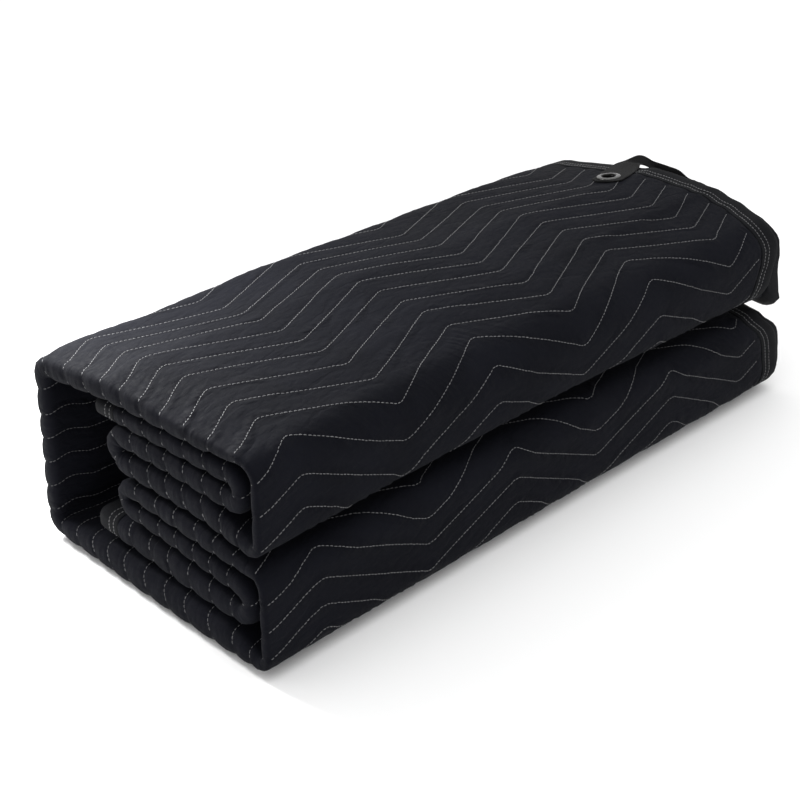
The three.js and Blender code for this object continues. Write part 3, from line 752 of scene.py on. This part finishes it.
def by_kind(along, station, give):
    """give(kind, value, station) on the outer ply, the near bend and the ply behind it, by distance along."""
    near, radius = near_bend(station), bend_radius(station)
    past = near - along
    masks = {
        "ply0": (past <= 0, along),
        "outer": ((past > 0) & (past < np.pi * radius), past / radius),
        "ply1": (past >= np.pi * radius, near + past - np.pi * radius),
    }
    result = None
    for kind, (mask, value) in masks.items():
        if mask.any():
            part = np.asarray(give(kind, value[mask], station[mask]))
            if result is None:
                result = np.zeros((len(along),) + part.shape[1:])
            result[mask] = part
    return result


def face_station(row, along):
    """Stations at which whole stitch rows lie, by distance along the sheet's face."""
    station = near_station(row)
    for _ in range(3):
        x = by_kind(along, station, hold_x)
        station = station_at(row_length(row, x) + zigzag(along, row), x)
    return station


def stitched_point(along, station, height):
    """Points of the face along a stitch row, this high above the thread's bed."""

    def give(kind, value, part):
        return sheet_point(kind, value, part, depth_of(kind, value, part, 0.0) + height)

    return by_kind(along, station, give)


# ---- binding ----

TAPE_SEAMS = (19.5, 13.5)      # stitch rows, from the sheet's edge
LEAST_DEPTH = 0.15
# The tape's section, its outside first: distance in from the edge, which face, and how far the point
# stands off the cloth's face.
TAPE_SECTION = [
    (25.0, 1, -0.15), (24.3, 1, 0.15), (22.0, 1, 0.22), (19.5, 1, -0.2), (17.6, 1, 0.14), (15.4, 1, 0.14),
    (13.5, 1, -0.2), (11.0, 1, 0.2), (5.5, 1, 0.24), (1.0, 1, -0.05), (-0.6, 1, -0.7), (-0.9, 0, 0.0),
    (-0.6, -1, -0.7), (1.0, -1, -0.05), (13.5, -1, -0.15), (19.5, -1, -0.15), (25.0, -1, -0.1),
    (25.0, -1, -0.6), (-0.3, -1, -0.6), (-0.3, 1, -0.6), (25.0, 1, -0.6),
]
FROM_EDGE, TAPE_SIDE, TAPE_STAND = np.array(TAPE_SECTION, float).T
TAPE_MIDDLE = 4                # the section's point that measures the way along the tape
TAPE_INNER = 17                # its first point on the inside, below the other face


def tape_depth(half, number=slice(None)):
    """Depths of points of the tape's section where the sheet is this thick."""
    return TAPE_SIDE[number] * np.maximum(half + TAPE_STAND[number], LEAST_DEPTH)


def tape_along_hem(kind, hem, rows):
    """The binding's points along one of the sheet's two hems, its mitred corners included."""
    station, _ = solve_column(kind, hem, rows, False)
    length, total = local_length(station, FAR_X), local_length(float(LAST), FAR_X)
    station = station[(length > TAPE_WIDTH + 1) & (length < total - TAPE_WIDTH - 1)]
    side = []
    for number, distance in enumerate(FROM_EDGE):
        corner = station_at(np.array([distance, total - distance]), np.full(2, FAR_X))
        place = np.concatenate([corner[:1], station, corner[1:]])
        value = hem(place) - distance
        side.append(sheet_point(kind, value, place, tape_depth(half_of(kind, value, place), number)))
    return np.array(side).transpose(1, 0, 2)


def tape_along_end(columns, end):
    """The binding's points along the first end (0) or the last (1) of the section path."""
    side = []
    for kind, place in columns:
        base = np.full(len(FROM_EDGE), float(LAST * end))
        x = hold_x(kind, place(base), base)
        station = station_at(local_length(base, x) - FROM_EDGE if end else FROM_EDGE, x)
        value = place(station)
        side.append(sheet_point(kind, value, station, tape_depth(half_of(kind, value, station))))
    return np.array(side)


def tape_ring():
    """Points of the binding, a row for each place round the sheet's edge and a column for its section."""
    rows = grid_rows()
    first, second = (tape_along_hem(*from_hem(0, kind), rows) for kind in ("ply0", "ply3"))
    columns = face_columns()[len(FACE_HEM):-len(FACE_SECOND_HEM)]
    start, finish = (tape_along_end(columns, end) for end in (0, 1))
    return np.concatenate([first[:1], start, second, finish[::-1], first[1:][::-1]])


def closed_tube(ring):
    """Quads of a tube that closes on itself both ways."""
    index = numbered(ring.shape)
    return tube_faces(np.concatenate([index, index[:1]]))


def binding(material):
    ring = tape_ring()
    sheet = np.stack([
        np.repeat(run_length(ring[:, TAPE_MIDDLE])[:, None], ring.shape[1], 1),
        np.repeat(FROM_EDGE[None], ring.shape[0], 0) * np.where(TAPE_SIDE < 0, -1, 1),
        np.zeros(ring.shape[:2]),
    ], -1)
    points = to_frame(ring.reshape(-1, 3))
    return make_mesh("edge_tape", points, [closed_tube(ring)], material, sheet.reshape(-1, 3)), ring


# ---- stitches ----

# A stitch's five places from end to end: the share of its length, and its height over the thread's bed.
STITCH_SHARES = np.array([0, 0.16, 0.5, 0.84, 1])
STITCH_HEIGHTS = np.array([-0.3, 0.14, 0.28, 0.14, -0.3])
STITCH_GIRTHS = np.array([0.82, 1, 0.82])   # of the three in between: the two ends are points
STITCH_SIDES = 4
STITCH_POINTS = 3 * STITCH_SIDES + 2
STITCH_FLAT = 0.85        # its height for its width


def stitches(points, normals, pitch=STITCH_PITCH, length=STITCH_LENGTH, radius=THREAD_RADIUS, wander=0.12):
    """Points of a row of stitches along a polyline, a block for each stitch."""
    run = run_length(points)
    count = int((run[-1] - length) / pitch)
    if count < 1:
        return np.zeros((0, STITCH_POINTS, 3))
    start = rng.uniform(0, pitch * 0.5) + pitch * np.arange(count) + rng.uniform(-0.15, 0.15, count)
    sizes = length * rng.uniform(0.9, 1.06, count)
    at = np.clip(start[:, None] + sizes[:, None] * STITCH_SHARES, 0, run[-1])
    centre, up = (
        np.stack([np.interp(at, run, values[:, axis]) for axis in range(3)], -1)
        for values in (points, normals)
    )
    up /= np.linalg.norm(up, axis=-1)[..., None]
    along = centre[:, -1] - centre[:, 0]
    along /= np.linalg.norm(along, axis=-1)[..., None] + 1e-9
    across = np.cross(along[:, None], up)
    across /= np.linalg.norm(across, axis=-1)[..., None] + 1e-9
    centre += up * STITCH_HEIGHTS[:, None] + rng.normal(0, wander, count)[:, None, None] * across
    angle = 2 * np.pi * (np.arange(STITCH_SIDES)[:, None] + 0.5) / STITCH_SIDES
    spokes = np.cos(angle) * across[:, 1:4, None] + np.sin(angle) * up[:, 1:4, None] * STITCH_FLAT
    rings = centre[:, 1:4, None] + radius * STITCH_GIRTHS[:, None, None] * spokes
    return np.concatenate([centre[:, :1], rings.reshape(count, -1, 3), centre[:, 4:]], axis=1)


def stitch_faces(count):
    """Triangles and quads of a number of stitches."""
    index = numbered((3, STITCH_SIDES), 1)
    fans = np.concatenate(cap_faces(index, (0, STITCH_POINTS - 1)))
    first = (np.arange(count) * STITCH_POINTS)[:, None, None]
    return [(part + first).reshape(-1, part.shape[1]) for part in (fans, tube_faces(index))]


def thread_piece(name, blocks, material):
    points = np.concatenate([block for block in blocks if len(block)])
    return make_mesh(name, to_frame(points.reshape(-1, 3)), stitch_faces(len(points)), material)


ROW_STEP = 3.0            # from point to point of a row's line
LEAST_LINE = 4            # points, or it is left out
ENDS_SEEN = 70            # how far along a row is stitched where the next layer hides the rest
BEHIND_SEEN = -170        # how far past the near folds it goes on behind
OUTSIDE_SEWN = range(18, 61)   # rows sewn as far as the first hem, where they are seen
BEHIND_SEWN = range(34, 44)    # rows sewn all the way behind, where the spine's inside is seen


def row_line(row, first, last):
    """A stitch row's line on the sheet's face, with its normals, between two distances along."""
    along = np.arange(first, last, ROW_STEP)
    station = face_station(np.full(len(along), float(row)), along)
    hem = first_hem(station) - TAPE_WIDTH + 1
    inside = (along < hem) & (station > 0.5) & (station < LAST - 0.5)
    if inside.sum() < LEAST_LINE:
        return None
    along, station = along[inside], station[inside]
    line = stitched_point(along, station, 0.0)
    normal = stitched_point(along, station, 1.0) - line
    return line, normal


def quilting_threads(material):
    outer, ends = [], []
    for row in range(LAST_WHOLE_ROW + 1):
        outside = row in OUTSIDE_SEWN
        line = row_line(row, 2, FAR_X if outside else ENDS_SEEN)
        if line:
            (outer if outside else ends).append(
                stitches(*line, radius=THREAD_RADIUS if outside else INSIDE_THREAD_RADIUS))
        line = row_line(row, -FAR_X if row in BEHIND_SEWN else BEHIND_SEEN, 2)
        if line:
            ends.append(stitches(*line, radius=INSIDE_THREAD_RADIUS))
    seat = eyelet_seat()[0]
    outer = [block[np.linalg.norm(block.mean(axis=1) - seat, axis=1) > EYELET_CLEAR] for block in outer]
    return [
        thread_piece("quilting_rows", outer, material),
        thread_piece("quilting_rows_inside", ends, material),
    ]


def seam_threads(ring, material):
    """The binding's two stitch rows, along the face of the sheet all the way round."""
    blocks = []
    closed = np.concatenate([ring, ring[:1]])
    for distance in TAPE_SEAMS:
        number = int(np.argmin(np.abs(FROM_EDGE - distance) + (TAPE_SIDE < 0) * TAPE_WIDTH))
        line = closed[:, number]
        normal = np.cross(np.gradient(line, axis=0), line - closed[:, number + 1])
        outward = line - closed[:, TAPE_INNER]
        normal *= np.sign(np.einsum("ij,ij->i", normal, outward))[:, None]
        normal /= np.linalg.norm(normal, axis=1)[:, None] + 1e-9
        blocks.append(stitches(line, normal, pitch=3.3, length=2.9, radius=0.42, wander=0.08))
    return thread_piece("edge_tape_seams", blocks, material)


# ---- hanging loop and eyelet ----


def top_station(y, x):
    """The station of the top layer whose outer face has this y at this x."""
    low, high = FULL_FROM, RISE_TO
    for _ in range(40):
        middle = (low + high) / 2
        centre, normal, thick = strip(middle, x)
        if centre[0] + normal[0] * thick / 2 < y:
            low = middle
        else:
            high = middle
    return low


def loop_point(level, reach, y, z):
    """A point in the webbing's middle: free, on top of the outer ply, or in the slot below it."""
    x = float(lerp_at(HEM, top_station(y, FAR_X))) + reach
    if level != "free":
        station = top_station(y, x)
        half = float(half_of("ply0", x, station))
        if level == "top":
            z = sheet_point("ply0", x, station, half)[2] + STRAP_CLEAR + STRAP_THICK / 2
        else:
            z = sheet_point("ply0", x, station, -half)[2] - (PLY_GAP + STRAP_LIFT) / 2
    return x, y, float(z)


def smooth_curve(points, places, finer):
    """A curve through the points, by cubic pieces whose tangents weigh the steps to either side."""
    step = np.diff(places)[:, None]
    slope = np.diff(points, axis=0) / step
    inner = (slope[1:] * step[:-1] + slope[:-1] * step[1:]) / (step[1:] + step[:-1])
    tangent = np.concatenate([slope[:1], inner, slope[-1:]])
    index = np.clip(np.searchsorted(places, finer, side="right") - 1, 0, len(places) - 2)
    width = step[index]
    t = (finer[:, None] - places[index][:, None]) / width
    return (
        (2 * t**3 - 3 * t**2 + 1) * points[index] + (t**3 - 2 * t**2 + t) * width * tangent[index]
        + (3 * t**2 - 2 * t**3) * points[index + 1] + (t**3 - t**2) * width * tangent[index + 1]
    )


def webbing_section():
    """Places across the webbing from -1 to 1, and heights as shares of half its thickness."""
    across = np.linspace(-0.965, 0.965, 27)
    wale = 0.9 + 0.1 * np.cos(np.pi * 13 * across)
    edge = [(0.985, 0.75), (1.0, 0.3), (1.0, -0.3), (0.985, -0.75)]
    top = list(zip(across, wale))
    return np.array(top + edge + [(a, -h) for a, h in reversed(top)] + [(-a, -h) for a, h in edge])


def webbing(material):
    rows = np.array([[loop_point(row[0], *row[1:4]), loop_point(row[0], *row[4:7])] for row in LOOP])
    places = run_length(rows.mean(axis=1))
    finer = np.linspace(0, places[-1], LOOP_STEPS)
    outer, inner = (smooth_curve(rows[:, side], places, finer) for side in (0, 1))
    centre, across = (outer + inner) / 2, (outer - inner) / 2
    normal = np.cross(np.gradient(centre, axis=0), across)
    normal *= STRAP_THICK / 2 / np.linalg.norm(normal, axis=1)[:, None]
    section = webbing_section()
    points = centre[:, None] + across[:, None] * section[None, :, :1] + normal[:, None] * section[None, :, 1:]
    index = numbered(points.shape)
    caps = [points[0].mean(axis=0), points[-1].mean(axis=0)]
    faces = [tube_faces(index), *cap_faces(index, (index.size, index.size + 1))]
    width = np.linalg.norm(across, axis=1)[:, None]
    flat = np.stack([
        np.repeat(finer[:, None], len(section), 1), width * section[None, :, 0],
        np.repeat(section[None, :, 1], len(finer), 0),
    ], -1).reshape(-1, 3)
    every = to_frame(np.concatenate([points.reshape(-1, 3), caps]))
    return make_mesh("webbing_loop", every, faces, material, np.concatenate([flat, np.zeros((2, 3))]))


def eyelet_seat():
    """The eyelet's seat on the outer ply's face, its two directions and axis, and the ply's thickness."""
    station = top_station(EYELET_Y, EYELET_X)
    half = float(half_of("ply0", EYELET_X, station))

    def at(x, beside):
        return warp(sheet_point("ply0", x, station + beside, half))

    along = unit(at(EYELET_X + 8, 0) - at(EYELET_X - 8, 0))
    axis = unit(np.cross(along, unit(at(EYELET_X, 0.3) - at(EYELET_X, -0.3))))
    return at(EYELET_X, 0), along, np.cross(axis, along), axis, 2 * half


def lathe(name, profile, sides, material):
    """A closed ring turned about the eyelet's axis from (radius, height) points."""
    seat, along, beside, axis, _ = eyelet_seat()
    profile = np.array(profile)
    angle = 2 * np.pi * np.arange(sides) / sides
    radial = np.cos(angle)[:, None] * along + np.sin(angle)[:, None] * beside
    points = seat + radial[:, None] * profile[None, :, :1] + axis * profile[None, :, 1:]
    turned = np.concatenate([np.tile(profile, (sides, 1)), np.zeros((sides * len(profile), 1))], axis=1)
    return make_mesh(name, (points.reshape(-1, 3) - ORIGIN) / 1000, [closed_tube(points)], material, turned)


def eyelet(material):
    foot = STRAP_CLEAR + STRAP_THICK + EYELET_GAP
    washer = -(eyelet_seat()[4] + EYELET_GAP)
    flange = [
        (7.35, 0.0), (11.2, 0.0), (11.6, 0.06), (11.9, 0.26), (11.95, 0.46), (11.8, 0.7), (11.4, 0.9),
        (10.7, 1.1), (9.9, 1.24), (9.2, 1.3), (8.6, 1.26), (8.0, 1.12), (7.5, 0.88), (7.1, 0.5),
        (6.75, 0.0), (6.45, -0.6),
    ]
    barrel = [(6.35, washer + 0.6), (6.45, washer - 0.2), (6.8, washer - 0.6), (7.4, washer - 0.78)]
    plate = [
        (9.0, washer - 0.8), (11.0, washer - 0.76), (11.4, washer - 0.6), (11.5, washer - 0.35),
        (11.35, washer - 0.05), (11.0, washer), (7.35, washer), (7.35, (washer + foot) / 2),
    ]
    profile = [(radius, foot + height) for radius, height in flange] + barrel + plate
    return lathe("rolled_eyelet", profile, EYELET_SIDES, material)


def punch(pieces):
    """Cuts the eyelet's hole through the pieces."""
    seat, along, beside, axis, ply = eyelet_seat()
    angle = 2 * np.pi * np.arange(HOLE_SIDES) / HOLE_SIDES
    rim = seat + HOLE_RADIUS * (np.cos(angle)[:, None] * along + np.sin(angle)[:, None] * beside)
    ends = [rim - axis * (ply + PUNCH_BELOW), rim + axis * PUNCH_ABOVE]
    points = np.concatenate([*ends, [end.mean(axis=0) for end in ends]])
    index = numbered((2, len(rim)))
    faces = [tube_faces(index), *cap_faces(index, (index.size, index.size + 1))]
    tool = make_mesh("hole", (points - ORIGIN) / 1000, faces, bpy.data.materials.new("hole"))
    for piece in pieces:
        cut = piece.modifiers.new("hole", "BOOLEAN")
        cut.operation, cut.solver, cut.object = "DIFFERENCE", "MANIFOLD", tool
        mesh = bpy.data.meshes.new_from_object(piece.evaluated_get(bpy.context.evaluated_depsgraph_get()))
        piece.modifiers.clear()
        piece.data = mesh
    bpy.data.objects.remove(tool)


# ---- materials ----


class Graph:
    """A material and short ways to add nodes to it."""

    def __init__(self, name):
        self.material = bpy.data.materials.new(name)
        self.material.use_nodes = True
        self.nodes, self.links = self.material.node_tree.nodes, self.material.node_tree.links
        self.shader = self.nodes["Principled BSDF"]

    def fill(self, socket, value):
        if isinstance(value, bpy.types.NodeSocket):
            self.links.new(value, socket)
        else:
            socket.default_value = value

    def node(self, kind, inputs=(), **settings):
        made = self.nodes.new(kind)
        for key, value in settings.items():
            setattr(made, key, value)
        for key, value in dict(inputs).items():
            self.fill(made.inputs[key], value)
        return made

    def math(self, operation, *values, clamp=False):
        made = self.node("ShaderNodeMath", operation=operation, use_clamp=clamp)
        for index, value in enumerate(values):
            self.fill(made.inputs[index], value)
        return made.outputs[0]

    def times(self, *values):
        return self.math("MULTIPLY", *values)

    def apart(self, first, second):
        return self.math("ABSOLUTE", self.math("SUBTRACT", first, second))

    def sheet(self):
        """The three numbers of the mesh's own coordinates."""
        own = self.node("ShaderNodeAttribute", attribute_name="sheet").outputs["Vector"]
        return self.node("ShaderNodeSeparateXYZ", {"Vector": own}).outputs[:3]

    def vector(self, *values):
        made = self.node("ShaderNodeCombineXYZ")
        for index, value in enumerate(values):
            self.fill(made.inputs[index], value)
        return made.outputs[0]

    def place(self):
        return self.node("ShaderNodeTexCoord").outputs["Object"]

    def noise(self, vector, scale, detail=2.0, roughness=0.5):
        made = self.node("ShaderNodeTexNoise", {
            "Vector": vector, "Scale": scale, "Detail": detail, "Roughness": roughness})
        return made.outputs[0]

    def streaks(self, first, second, seed=0.0, detail=2.0, roughness=0.5):
        """Noise over two numbers, each given with its own scale."""
        return self.noise(self.vector(self.times(*first), self.times(*second), seed), 1.0, detail, roughness)

    def wave(self, value, length):
        """A sine of that wavelength."""
        return self.math("SINE", self.times(value, 2 * math.pi / length))

    def between(self, value, low, high, start=0.0, end=1.0):
        made = self.node("ShaderNodeMapRange", {
            "Value": value, "From Min": low, "From Max": high, "To Min": start, "To Max": end},
            interpolation_type="SMOOTHSTEP")
        return made.outputs[0]

    def mix(self, share, first, second):
        made = self.node("ShaderNodeMix", data_type="RGBA")
        self.fill(made.inputs["Factor"], share)
        self.fill(made.inputs[6], (*first, 1) if isinstance(first, tuple) else first)
        self.fill(made.inputs[7], (*second, 1) if isinstance(second, tuple) else second)
        return made.outputs[2]

    def sum(self, *parts):
        """Parts are (amount, value) pairs."""
        total = 0.0
        for amount, value in parts:
            total = self.math("MULTIPLY_ADD", value, amount, total)
        return total

    def bump(self, height):
        """height is in millimetres."""
        made = self.node("ShaderNodeBump", {"Height": height, "Distance": 0.001, "Strength": 1.0})
        self.links.new(made.outputs[0], self.shader.inputs["Normal"])

    def finish(self, colour, roughness, **constants):
        self.fill(self.shader.inputs["Base Color"], (*colour, 1) if isinstance(colour, tuple) else colour)
        self.fill(self.shader.inputs["Roughness"], roughness)
        for key, value in constants.items():
            self.shader.inputs[key.replace("_", " ")].default_value = value
        return self.material


CLOTH_DARK = (0.0031, 0.0034, 0.0055)
CLOTH_LIGHT = (0.0052, 0.0056, 0.0088)
RIDGE_ROW, RIDGE_ALONG = 25.3, 200.0   # where the upper wall's ridge is puckered most


def fabric_material():
    g = Graph("quilted_fabric")
    along, length, row = g.sheet()
    place = g.place()
    from_row = g.times(g.apart(row, g.math("ROUND", row)), ROW_PITCH)
    beside = g.between(from_row, 0.6, 9.0, 1.0, 0.0)
    ripple = g.streaks((along, 0.12), (row, 1.4), 0.0, 2.0, 0.55)
    crease = g.apart(g.streaks((along, 0.022), (length, 0.05), 3.0, 3.0), 0.5)
    leaning = g.math("MULTIPLY_ADD", length, 0.11, g.times(along, 0.17))
    tick = g.noise(g.vector(leaning, g.times(length, 0.05), 7.0), 1.0, 1.0, 0.4)
    spots = g.streaks((along, 0.03), (row, 0.9), 5.0, 1.0, 0.4)
    drawn = g.times(g.between(spots, 0.5, 0.66), g.between(from_row, 1.0, 11.0, 1.0, 0.0))
    ridge = g.times(g.between(g.apart(row, RIDGE_ROW), 0.3, 1.6, 0.7, 0.0),
                    g.between(g.apart(along, RIDGE_ALONG), 60.0, 190.0, 1.0, 0.0))
    drawn = g.math("MAXIMUM", drawn, g.times(ridge, g.between(spots, 0.3, 0.6)))
    weave = g.times(g.wave(along, 1.3), g.wave(length, 1.3))
    slub = g.streaks((along, 0.25), (length, 2.4), 0.0, 2.0, 0.6)
    fuzz = g.noise(place, 1400.0, 2.0, 0.7)
    g.bump(g.sum(
        (1.6, g.times(beside, ripple)), (-0.3, g.between(crease, 0.0, 0.1, 1.0, 0.0)),
        (2.2, g.times(tick, drawn)), (0.05, weave), (0.12, slub), (0.16, fuzz),
    ))
    cloudy = g.noise(place, 14.0, 4.0, 0.6)
    mottle = g.noise(place, 230.0, 3.0, 0.7)
    # The -0.12 beside term darkens the cloth within 9 mm of each stitch row: painted shade in the stitch
    # grooves.
    share = g.sum((1.1, cloudy), (0.5, mottle), (0.25, slub), (0.10, weave), (-0.12, beside))
    colour = g.mix(g.between(share, 0.55, 1.3), CLOTH_DARK, CLOTH_LIGHT)
    return g.finish(colour, g.between(mottle, 0.3, 0.7, 0.74, 0.88), Specular_IOR_Level=0.06,
                    Sheen_Weight=0.012, Sheen_Roughness=0.4)


def binding_material():
    g = Graph("binding_fabric")
    along, across, _ = g.sheet()
    rib = g.wave(along, 1.1)
    worn = g.noise(g.place(), 60.0, 3.0, 0.6)
    fuzz = g.noise(g.place(), 1500.0, 2.0, 0.7)
    pucker = g.streaks((along, 0.14), (across, 0.05))
    g.bump(g.sum((0.08, rib), (0.12, fuzz), (0.7, pucker)))
    colour = g.mix(g.sum((0.9, worn), (0.08, rib)), (0.0042, 0.0045, 0.0055), (0.0072, 0.0076, 0.009))
    return g.finish(colour, 0.75, Specular_IOR_Level=0.06, Sheen_Weight=0.01, Sheen_Roughness=0.4)


def webbing_material():
    g = Graph("webbing_fabric")
    along, across, _ = g.sheet()
    lean = g.math("ABSOLUTE", g.wave(across, 8.0))
    herring = g.wave(g.math("MULTIPLY_ADD", lean, 1.6, along), 1.7)
    fibre = g.streaks((along, 0.5), (across, 3.0), 0.0, 3.0)
    g.bump(g.sum((0.12, herring), (0.15, fibre)))
    colour = g.mix(g.sum((0.6, fibre), (0.2, herring)), (0.0055, 0.0055, 0.0058), (0.0095, 0.0095, 0.010))
    return g.finish(colour, 0.7, Specular_IOR_Level=0.07, Sheen_Weight=0.01)


def thread_material():
    g = Graph("quilting_thread")
    spread = g.between(g.noise(g.place(), 420.0, 2.0, 0.6), 0.3, 0.7)
    ply = g.noise(g.place(), 2600.0, 1.0)
    g.bump(g.sum((0.1, ply)))
    colour = g.mix(spread, (0.078, 0.078, 0.081), (0.15, 0.15, 0.155))
    return g.finish(colour, 0.5, Specular_IOR_Level=0.45)


def nickel_material():
    g = Graph("nickel")
    place = g.place()
    smear = g.noise(place, 350.0, 3.0, 0.6)
    lengthways = g.node("ShaderNodeMapping", {"Vector": place, "Scale": (300.0, 2600.0, 900.0)})
    scratch = g.noise(lengthways.outputs[0], 1.0)
    g.bump(g.sum((0.03, smear), (0.012, scratch)))
    radius = g.sheet()[0]
    colour = g.mix(smear, (0.07, 0.07, 0.069), (0.14, 0.14, 0.138))
    # Nearer the axis than 8.4 mm the metal fades to near black, fully so inside 7.1 mm: painted shade inside
    # the hole and on the barrel's inner wall.
    colour = g.mix(g.between(radius, 7.1, 8.4), (0.006, 0.006, 0.006), colour)
    return g.finish(colour, g.between(smear, 0.25, 0.75, 0.16, 0.3), Metallic=1.0)


def floor_material():
    g = Graph("floor")
    mottle = g.noise(g.place(), 3.0, 2.0)
    return g.finish(g.mix(mottle, (0.95, 0.95, 0.95), (0.97, 0.97, 0.97)), 0.9)


# ---- stage, in metres of the row frame ----

CAMERA_PLACE = np.array([-618.3, -773.4, 793.2])   # in the fold's coordinates
CAMERA_FORWARD = (0.6133, 0.6229, -0.4857)
LENS = 73.94
FLOOR_REACH = 6.0
WORLD_STRENGTH = 0.95


def camera():
    data = bpy.data.cameras.new("camera")
    data.lens = LENS
    data.sensor_width = 36
    data.clip_start, data.clip_end = 0.05, 20
    made = add_object("camera", data)
    made.location = (CAMERA_PLACE - ORIGIN) / 1000
    made.rotation_euler = Vector(CAMERA_FORWARD).to_track_quat("-Z", "Y").to_euler()
    bpy.context.scene.camera = made


def floor():
    mesh = bpy.data.meshes.new("floor")
    corners = [(x * FLOOR_REACH, y * FLOOR_REACH, 0) for x, y in ((-1, -1), (1, -1), (1, 1), (-1, 1))]
    mesh.from_pydata(corners, [], [(0, 1, 2, 3)])
    mesh.materials.append(floor_material())
    made = add_object("floor", mesh)


def area_light(name, place, target, size, power):
    data = bpy.data.lights.new(name, "AREA")
    data.shape = "RECTANGLE"
    data.size, data.size_y = size
    data.energy = power
    made = add_object(name, data)
    made.location = place
    made.rotation_euler = (Vector(target) - Vector(place)).to_track_quat("-Z", "Y").to_euler()


def studio():
    world = bpy.data.worlds.new("studio")
    world.use_nodes = True
    background = world.node_tree.nodes["Background"].inputs
    background["Color"].default_value = (1, 1, 1, 1)
    background["Strength"].default_value = WORLD_STRENGTH
    bpy.context.scene.world = world
    area_light("key", (-0.325, 0.34, 0.38), (-0.33, 0.04, 0.18), (0.22, 0.2), 5.2)
    area_light("top", (0.2, -0.3, 2.4), (0.1, -0.1, 0.1), (2.2, 2.0), 20)
    bpy.context.scene.view_settings.view_transform = "Standard"


sheet_piece = blanket(fabric_material())
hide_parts("blanket")
tape_piece, ring = binding(binding_material())
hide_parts("binding")
thread = thread_material()
threads = quilting_threads(thread) + [seam_threads(ring, thread)]
strap_piece = webbing(webbing_material())
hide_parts("hanging_loop")
eyelet_piece = eyelet(nickel_material())
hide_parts("eyelet")
punch([sheet_piece, strap_piece])
goes_with = [tape_piece, *threads, strap_piece, eyelet_piece]
for piece in [sheet_piece, *goes_with]:
    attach(piece, "root")
camera()
floor()
studio()
